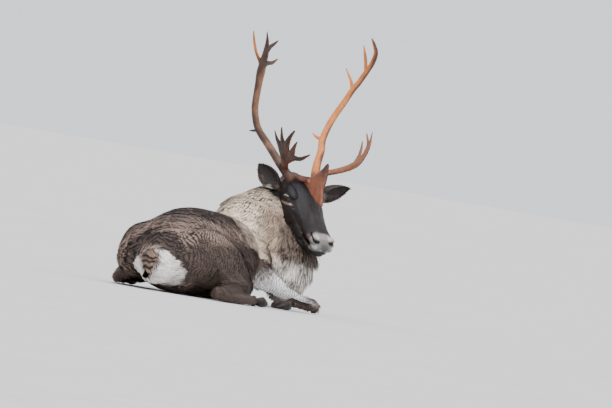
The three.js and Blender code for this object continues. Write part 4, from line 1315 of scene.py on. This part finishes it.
# The tines of each side: kind, thickness against width, and points
TINES = {
    "right": [
        ("crown", 0.55, [(185, -76, 425, 19), (197, -50, 462, 23), (212, -16, 515, 19), (226, 2, 560, 10.5),
                         (240, 10, 598, 3)]),
        ("first", 0.7, [(196, -66, 445, 11), (206, -66, 468, 10), (231, -62, 500, 8), (254, -55, 543, 7.5),
                        (276, -40, 590, 3)]),
        ("crown", 0.6, [(207, -30, 496, 12), (224, 30, 533, 9.5), (231, 68, 548, 7.5),
                        (236, 109, 568, 2.5)]),
        ("crown", 0.6, [(194, -60, 446, 13), (204, -2, 464, 10), (212, 50, 470, 8), (221, 104, 490, 2.5)]),
        ("back", 0.8, [(110, -133, 174, 11), (124, -155, 170, 7), (134, -176, 167, 2.5)]),
        ("dark_bez", 0.42, [*BEZ_STEM, (104, 76, 108, 27), (136, 68, 150, 12), (151, 60, 187, 3.5)]),
        ("dark_bez", 0.42, [*BEZ_STEM, (104, 92, 110, 25), (136, 104, 160, 11), (150, 110, 207, 3.5)]),
        ("dark_bez", 0.42, [(84, 72, 88, 22), (120, 125, 132, 16), (129, 155, 167, 10),
                            (126, 181, 200, 4.5)]),
        ("dark_bez", 0.45, [(74, 60, 78, 20), (95, 135, 102, 16), (106, 165, 128, 9.5),
                            (108, 187, 156, 3.5)]),
        ("dark_bez", 0.5, [(62, 42, 66, 18), (82, 130, 84, 15), (80, 190, 86, 10), (66, 239, 110, 3.5)]),
        ("saddle", 0.8, [(0, 2, 14, 14), (-24, 18, 6, 15), (-44, 32, 3, 15), (-66, 52, 4, 14)]),
    ],
    "left": [
        ("beam", 0.8, [(180, -72, 445, 12.5), (194, -42, 500, 12.5), (195, -10, 542, 11.5),
                       (184, 20, 583, 9.5), (155, 45, 615, 7.5), (122, 69, 641, 3)]),
        ("first", 0.75, [(191, -48, 494, 8.5), (184, -50, 535, 7.5), (175, -54, 572, 6.5),
                         (166, -60, 607, 2.5)]),
        ("first", 0.8, [(166, -92, 405, 9), (163, -98, 428, 7.5), (157, -105, 452, 6.5),
                        (139, -127, 496, 2.5)]),
        ("first", 0.8, [(76, -115, 178, 11), (55, -132, 186, 6.5), (40, -150, 199, 2.5)]),
        ("bez", 0.6, [(14, -30, 28, 19), (41, 42, 47, 17), (79, 100, 73, 19), (100, 150, 103, 22),
                      (112, 180, 144, 16), (118, 198, 188, 10), (118, 206, 248, 3)]),
        ("bez", 0.6, [(112, 184, 156, 10), (118, 186, 196, 7.5), (112, 172, 238, 3)]),
        ("bez", 0.6, [(94, 138, 94, 14), (111, 140, 136, 10), (121, 134, 170, 7.5), (123, 130, 203, 3)]),
        ("saddle", 0.8, [(0, 2, 12, 14), (-24, 18, 6, 15.5), (-46, 34, 2, 16), (-60, 62, -4, 15)]),
    ],
}
# Which way the thin side of each kind of tine looks: outward, forward and up; that of the others looks up
PALM_SIDES = {
    "crown": (0.85, -0.2, -0.3), "first": (0.85, -0.2, -0.3),
    "bez": (-0.75, -0.08, 0.66), "dark_bez": (-0.75, -0.08, 0.66),
}
# The outline of the upright blade over the face, forward and up
BLADE = [
    (14, -14), (60, -40), (112, -74), (177, -100), (184, -62), (175, -28), (188, 12), (184, 84), (150, 62),
    (104, 34), (56, 15), (12, 10),
]
BLADE_SIDE = "left"
BLADE_MIDDLE = 4
BLADE_HALF = 7.0
BLADE_TOP = (182, 74)


def on_antler(sign, out, fore, height):
    return on_crown(sign * (STUMP_SPREAD + out), fore, height)


def tine_shape(side, kind, thin, rows, sides=18, steps=40):
    sign = SIDES[side]
    stations = [(on_antler(sign, *spot), wide, wide * thin, wide * thin) for *spot, wide in rows]
    out, fore, up = PALM_SIDES.get(kind, (0, 0, 1))
    return loft(stations, unit(level_vector(sign * out, fore, up)), sides, steps)


def blade_shape():
    """The upright blade over the middle of the face, thick in its middle and thinner towards its edge"""
    outline = spline([*BLADE, BLADE[0]], 90)[:-1]
    middle = outline.mean(axis=0)
    rings = []
    for turn in np.linspace(-1, 1, 9) * math.pi / 2:
        scale = 1 - 0.16 * (1 - math.cos(turn))
        across = BLADE_HALF * math.sin(turn) + BLADE_MIDDLE
        ring = middle + (outline - middle) * scale
        rings.append([on_crown(across, fore, height) for fore, height in ring])
    return tube([np.array(ring) for ring in rings])


# The lit and the shaded colour of each kind; the right beam is duller than the left one
ANTLER_TONES = {
    "beam": ("#cc7a3f", "#5a3625"), "first": ("#dd7c35", "#6b3c20"), "crown": ("#6a4835", "#35221b"),
    "bez": ("#8a5840", "#3a231b"), "saddle": ("#8a5540", "#43271d"), "back": ("#5e4333", "#261a16"),
    "dull": ("#835e48", "#3f2c23"), "dark_bez": ("#613a2c", "#2e1a14"),
}
TONE_BLEND = 0.006
BEAM_TONES = {"right": "dull", "left": "beam"}
# The way each antler's lit side looks, outward, forward and up: its colour turns from the lit tone there to
# the shaded tone away from it, as painted light and shade
PAINTED_LIGHT_SIDE = {"right": (-0.6, 0.3, -0.5), "left": (-0.75, 0.1, 0.3)}
BLADE_EDGE, FOOT = srgb("#3a241c"), srgb("#4a3026")


def antler_kinds(side):
    """The shapes of one antler with the tones each is coloured in"""
    sign = SIDES[side]
    beam = [(on_antler(sign, *spot), radius, radius * 0.92, radius * 0.92) for *spot, radius in BEAMS[side]]
    kinds = [(BEAM_TONES[side], loft(beam, FACING, 22, 110))]
    kinds += [(kind, tine_shape(side, kind, thin, rows)) for kind, thin, rows in TINES[side]]
    return kinds + [("saddle", blade_shape())] if side == BLADE_SIDE else kinds


def antler_tones(points, kinds):
    """The lit and the shaded colour of each point, blended from those of the shapes around it"""
    lit, shaded, total = np.zeros_like(points), np.zeros_like(points), np.zeros(len(points))
    for kind, shape in kinds:
        tree = tree_of(*shape)
        distance = np.array([tree.find_nearest(Vector(point))[3] for point in points])
        weight = np.exp(-distance / TONE_BLEND) + 1e-9
        bright, dim = ANTLER_TONES[kind]
        lit += weight[:, None] * srgb(bright)
        shaded += weight[:, None] * srgb(dim)
        total += weight
    return lit, shaded, total[:, None]


def antler_colours(side, points, normals, kinds, groove):
    lit, shaded, total = antler_tones(points, kinds)
    out, fore, up = PAINTED_LIGHT_SIDE[side]
    # Painted light and shade: the lit tone where the antler faces its lit side, the shaded tone away from
    # it, and more of the shaded tone high up towards the tips
    facing = normals @ unit(level_vector(SIDES[side] * out, fore, up))
    dull = step_between(facing + 0.35 * ripple(points, 0.07), 0.45, -0.55)
    tips = step_between(points[:, 2] / MM + 25 * ripple(points, 0.05), 960, 1150)
    colours = mix(lit, shaded, np.clip(dull + 0.35 * tips, 0, 1)) / total
    colours = colours * (1 + 0.1 * np.clip(groove, -1.5, 1.2))[:, None]
    if side == BLADE_SIDE:
        edge = np.linalg.norm(points - on_crown(BLADE_MIDDLE, *BLADE_TOP), axis=1)
        edge = step_between(edge + 0.008 * ripple(points, 0.02), 0.085, 0.03)
        colours = mix(colours, BLADE_EDGE, 0.8 * edge)
    foot = np.linalg.norm(points - on_antler(SIDES[side], 4, 0, 0), axis=1)
    return mix(colours, FOOT, 0.7 * step_between(foot, 0.055, 0.025))


def make_antler(side, material):
    kinds = antler_kinds(side)
    antler = remeshed("antler", f"antler_{side}", [shape for _, shape in kinds])
    points, normals = points_of(antler.data), normals_of(antler.data)
    groove = 0.8 * ripple(points * np.array([1, 1, 0.4]), 0.016) + 0.6 * ripple(points, 0.007)
    paint(antler.data, antler_colours(side, points, normals, kinds, groove))
    pearls = 0.0004 + 0.0006 * groove * step_between(points[:, 2] / MM, 1050, 700) - 0.0002 * groove
    move_points(antler.data, points + normals * pearls[:, None])
    antler.data.materials.append(material)
    parts = ("base", "beam", "crown", "bez", "brow")
    add_piece(antler, "antler", *[f"antler_{side}_{part}" for part in parts])


# Hooves and eyes

HOOF_TIP, HOOF_TOP = srgb("#1b1614"), srgb("#3a302a")


def make_hooves(end, side, material):
    nodes = [f"{kind}_{end}_{side}_{half}" for kind in ("toe", "dewclaw") for half in ("inner", "outer")]
    hoof = remeshed("hoof", f"hooves_{end}_{side}", [node_shape(node) for node in nodes])
    points = points_of(hoof.data)
    high = step_between(points[:, 2] + 0.004 * ripple(points, 0.02), 0.02, 0.045)
    paint(hoof.data, mix(np.tile(HOOF_TIP, (len(points), 1)), HOOF_TOP, high))
    hoof.data.materials.append(material)
    add_piece(hoof, "hoof", *nodes)


# Half the length and half the height of the pupil, and where the iris ends, as shares of the eye's radius
PUPIL = (0.5, 0.3)
IRIS_EDGE = 0.86
IRIS_TONE, EDGE_TONE, PUPIL_TONE = srgb("#20130d"), srgb("#0c0807"), srgb("#040303")


def make_eye(side, material):
    radii = [EYE["radius"] - 0.5] * 3
    shape = ellipsoid(EYE_CENTRES[side], radii, [HEAD_ALONG, HEAD_UP, HEAD_LEFT], 40, 48)
    eye = mesh_object(f"eyeball_{side}", *shape)
    out = unit(points_of(eye.data) - EYE_CENTRES[side])
    fore, rise = out @ HEAD_ALONG, out @ HEAD_UP
    pupil = step_between(np.hypot(fore / PUPIL[0], rise / PUPIL[1]), 1.1, 0.9)
    edge = step_between(np.hypot(fore, rise), 0.62, IRIS_EDGE)
    paint(eye.data, mix(mix(np.tile(IRIS_TONE, (len(out), 1)), EDGE_TONE, edge), PUPIL_TONE, pupil))
    eye.data.materials.append(material)
    add_piece(eye, "eye", f"eye_{side}")


# Light, floor and camera

ROLL = math.radians(9.5)
LOOK = np.array([0.925, 0.379, 0.0])
SIGHT_FALL = math.radians(0.6)
CAMERA_DISTANCE = 80.0
FRAME_WIDTH = 2.604
SENSOR = 36.0
VIEW_END = 400
AIM = place(779, -320, 461)


def make_camera():
    data = bpy.data.cameras.new("camera")
    camera = add_object("camera", data)
    look = unit(LOOK) * math.cos(SIGHT_FALL) - UP * math.sin(SIGHT_FALL)
    right = unit(np.cross(look, UP))
    above = np.cross(right, look)
    frame_right = right * math.cos(ROLL) + above * math.sin(ROLL)
    frame_up = above * math.cos(ROLL) - right * math.sin(ROLL)
    rows = np.stack([frame_right, frame_up, -look, AIM - look * CAMERA_DISTANCE], 1)
    camera.matrix_world = Matrix([*rows.tolist(), [0, 0, 0, 1]])
    data.sensor_width = SENSOR
    data.lens = SENSOR * CAMERA_DISTANCE / FRAME_WIDTH
    data.clip_end = VIEW_END
    bpy.context.scene.camera = camera


SKY = {"Color": (0.90, 0.92, 0.96, 1), "Strength": 1.35}
FLOOR_TONES = [(0.66, 0.65, 0.64, 1), (0.74, 0.73, 0.72, 1)]
FLOOR_HALF = 60
# Each lamp's name, the way its light falls, its spread in degrees and its power
LAMPS = [("sun", (0.75, 0.45, -1.15), 35, 2.6), ("bounce", (0.9, 0.4, -0.15), 70, 0.9)]


def make_floor():
    material, tree, shader = new_material("floor_pale", 0.9, 0.1)
    ramp = add_node(tree, "ShaderNodeValToRGB")
    for element, tone in zip(ramp.color_ramp.elements, FLOOR_TONES):
        element.color = tone
    tree.links.new(noise(tree, 2, 2.0), ramp.inputs["Fac"])
    tree.links.new(ramp.outputs["Color"], shader.inputs["Base Color"])
    corners = [(x * FLOOR_HALF, y * FLOOR_HALF, 0) for x, y in ((-1, -1), (1, -1), (1, 1), (-1, 1))]
    floor = mesh_object("floor", corners, [(0, 1, 2, 3)])
    floor.data.materials.append(material)


def make_light():
    world = bpy.data.worlds.new("sky")
    world.use_nodes = True
    for key, value in SKY.items():
        world.node_tree.nodes["Background"].inputs[key].default_value = value
    bpy.context.scene.world = world
    for name, direction, angle, power in LAMPS:
        data = bpy.data.lights.new(name, "SUN")
        data.energy = power
        data.angle = math.radians(angle)
        add_object(name, data).rotation_euler = Vector(direction).to_track_quat("-Z", "Y").to_euler()


def main():
    make_camera()
    make_floor()
    make_light()
    wet = painted_material("eye_wet", 0.16, 0.25, 0.15, 0.0, Coat_Weight=0.15, Coat_Roughness=0.05)
    bone = painted_material("antler_bone", 0.5, 0.35, 0.2, 0.0012, 150, (2, 2, 0.5))
    horn = painted_material("hoof_horn", 0.5, 0.25, 0.35, 0.0009, 90, (1, 1, 4))
    for side in SIDES:
        make_eye(side, wet)
    for side in SIDES:
        make_antler(side, bone)
    for end in ("hind", "fore"):
        for side in SIDES:
            make_hooves(end, side, horn)
    body, weights, head, marks, unwrap = make_skin()
    mane, coat = body_tufts(body, weights)
    add_coat("mane", mane, LONG_TUFT, unwrap, COAT_MATERIAL, "mane")
    add_coat("coat", coat, SHORT_TUFT, unwrap, COAT_MATERIAL, "coat")
    add_coat("face", face_tufts(head, marks), SHORT_TUFT, unwrap, FACE_MATERIAL, "face")
    for side in SIDES:
        add_coat(f"ear_{side}_hair", ear_tufts(side), SHORT_TUFT, unwrap, FACE_MATERIAL, "face")
    for obj in (body, head):
        bpy.data.objects.remove(obj)


main()
bpy.context.view_layer.update()
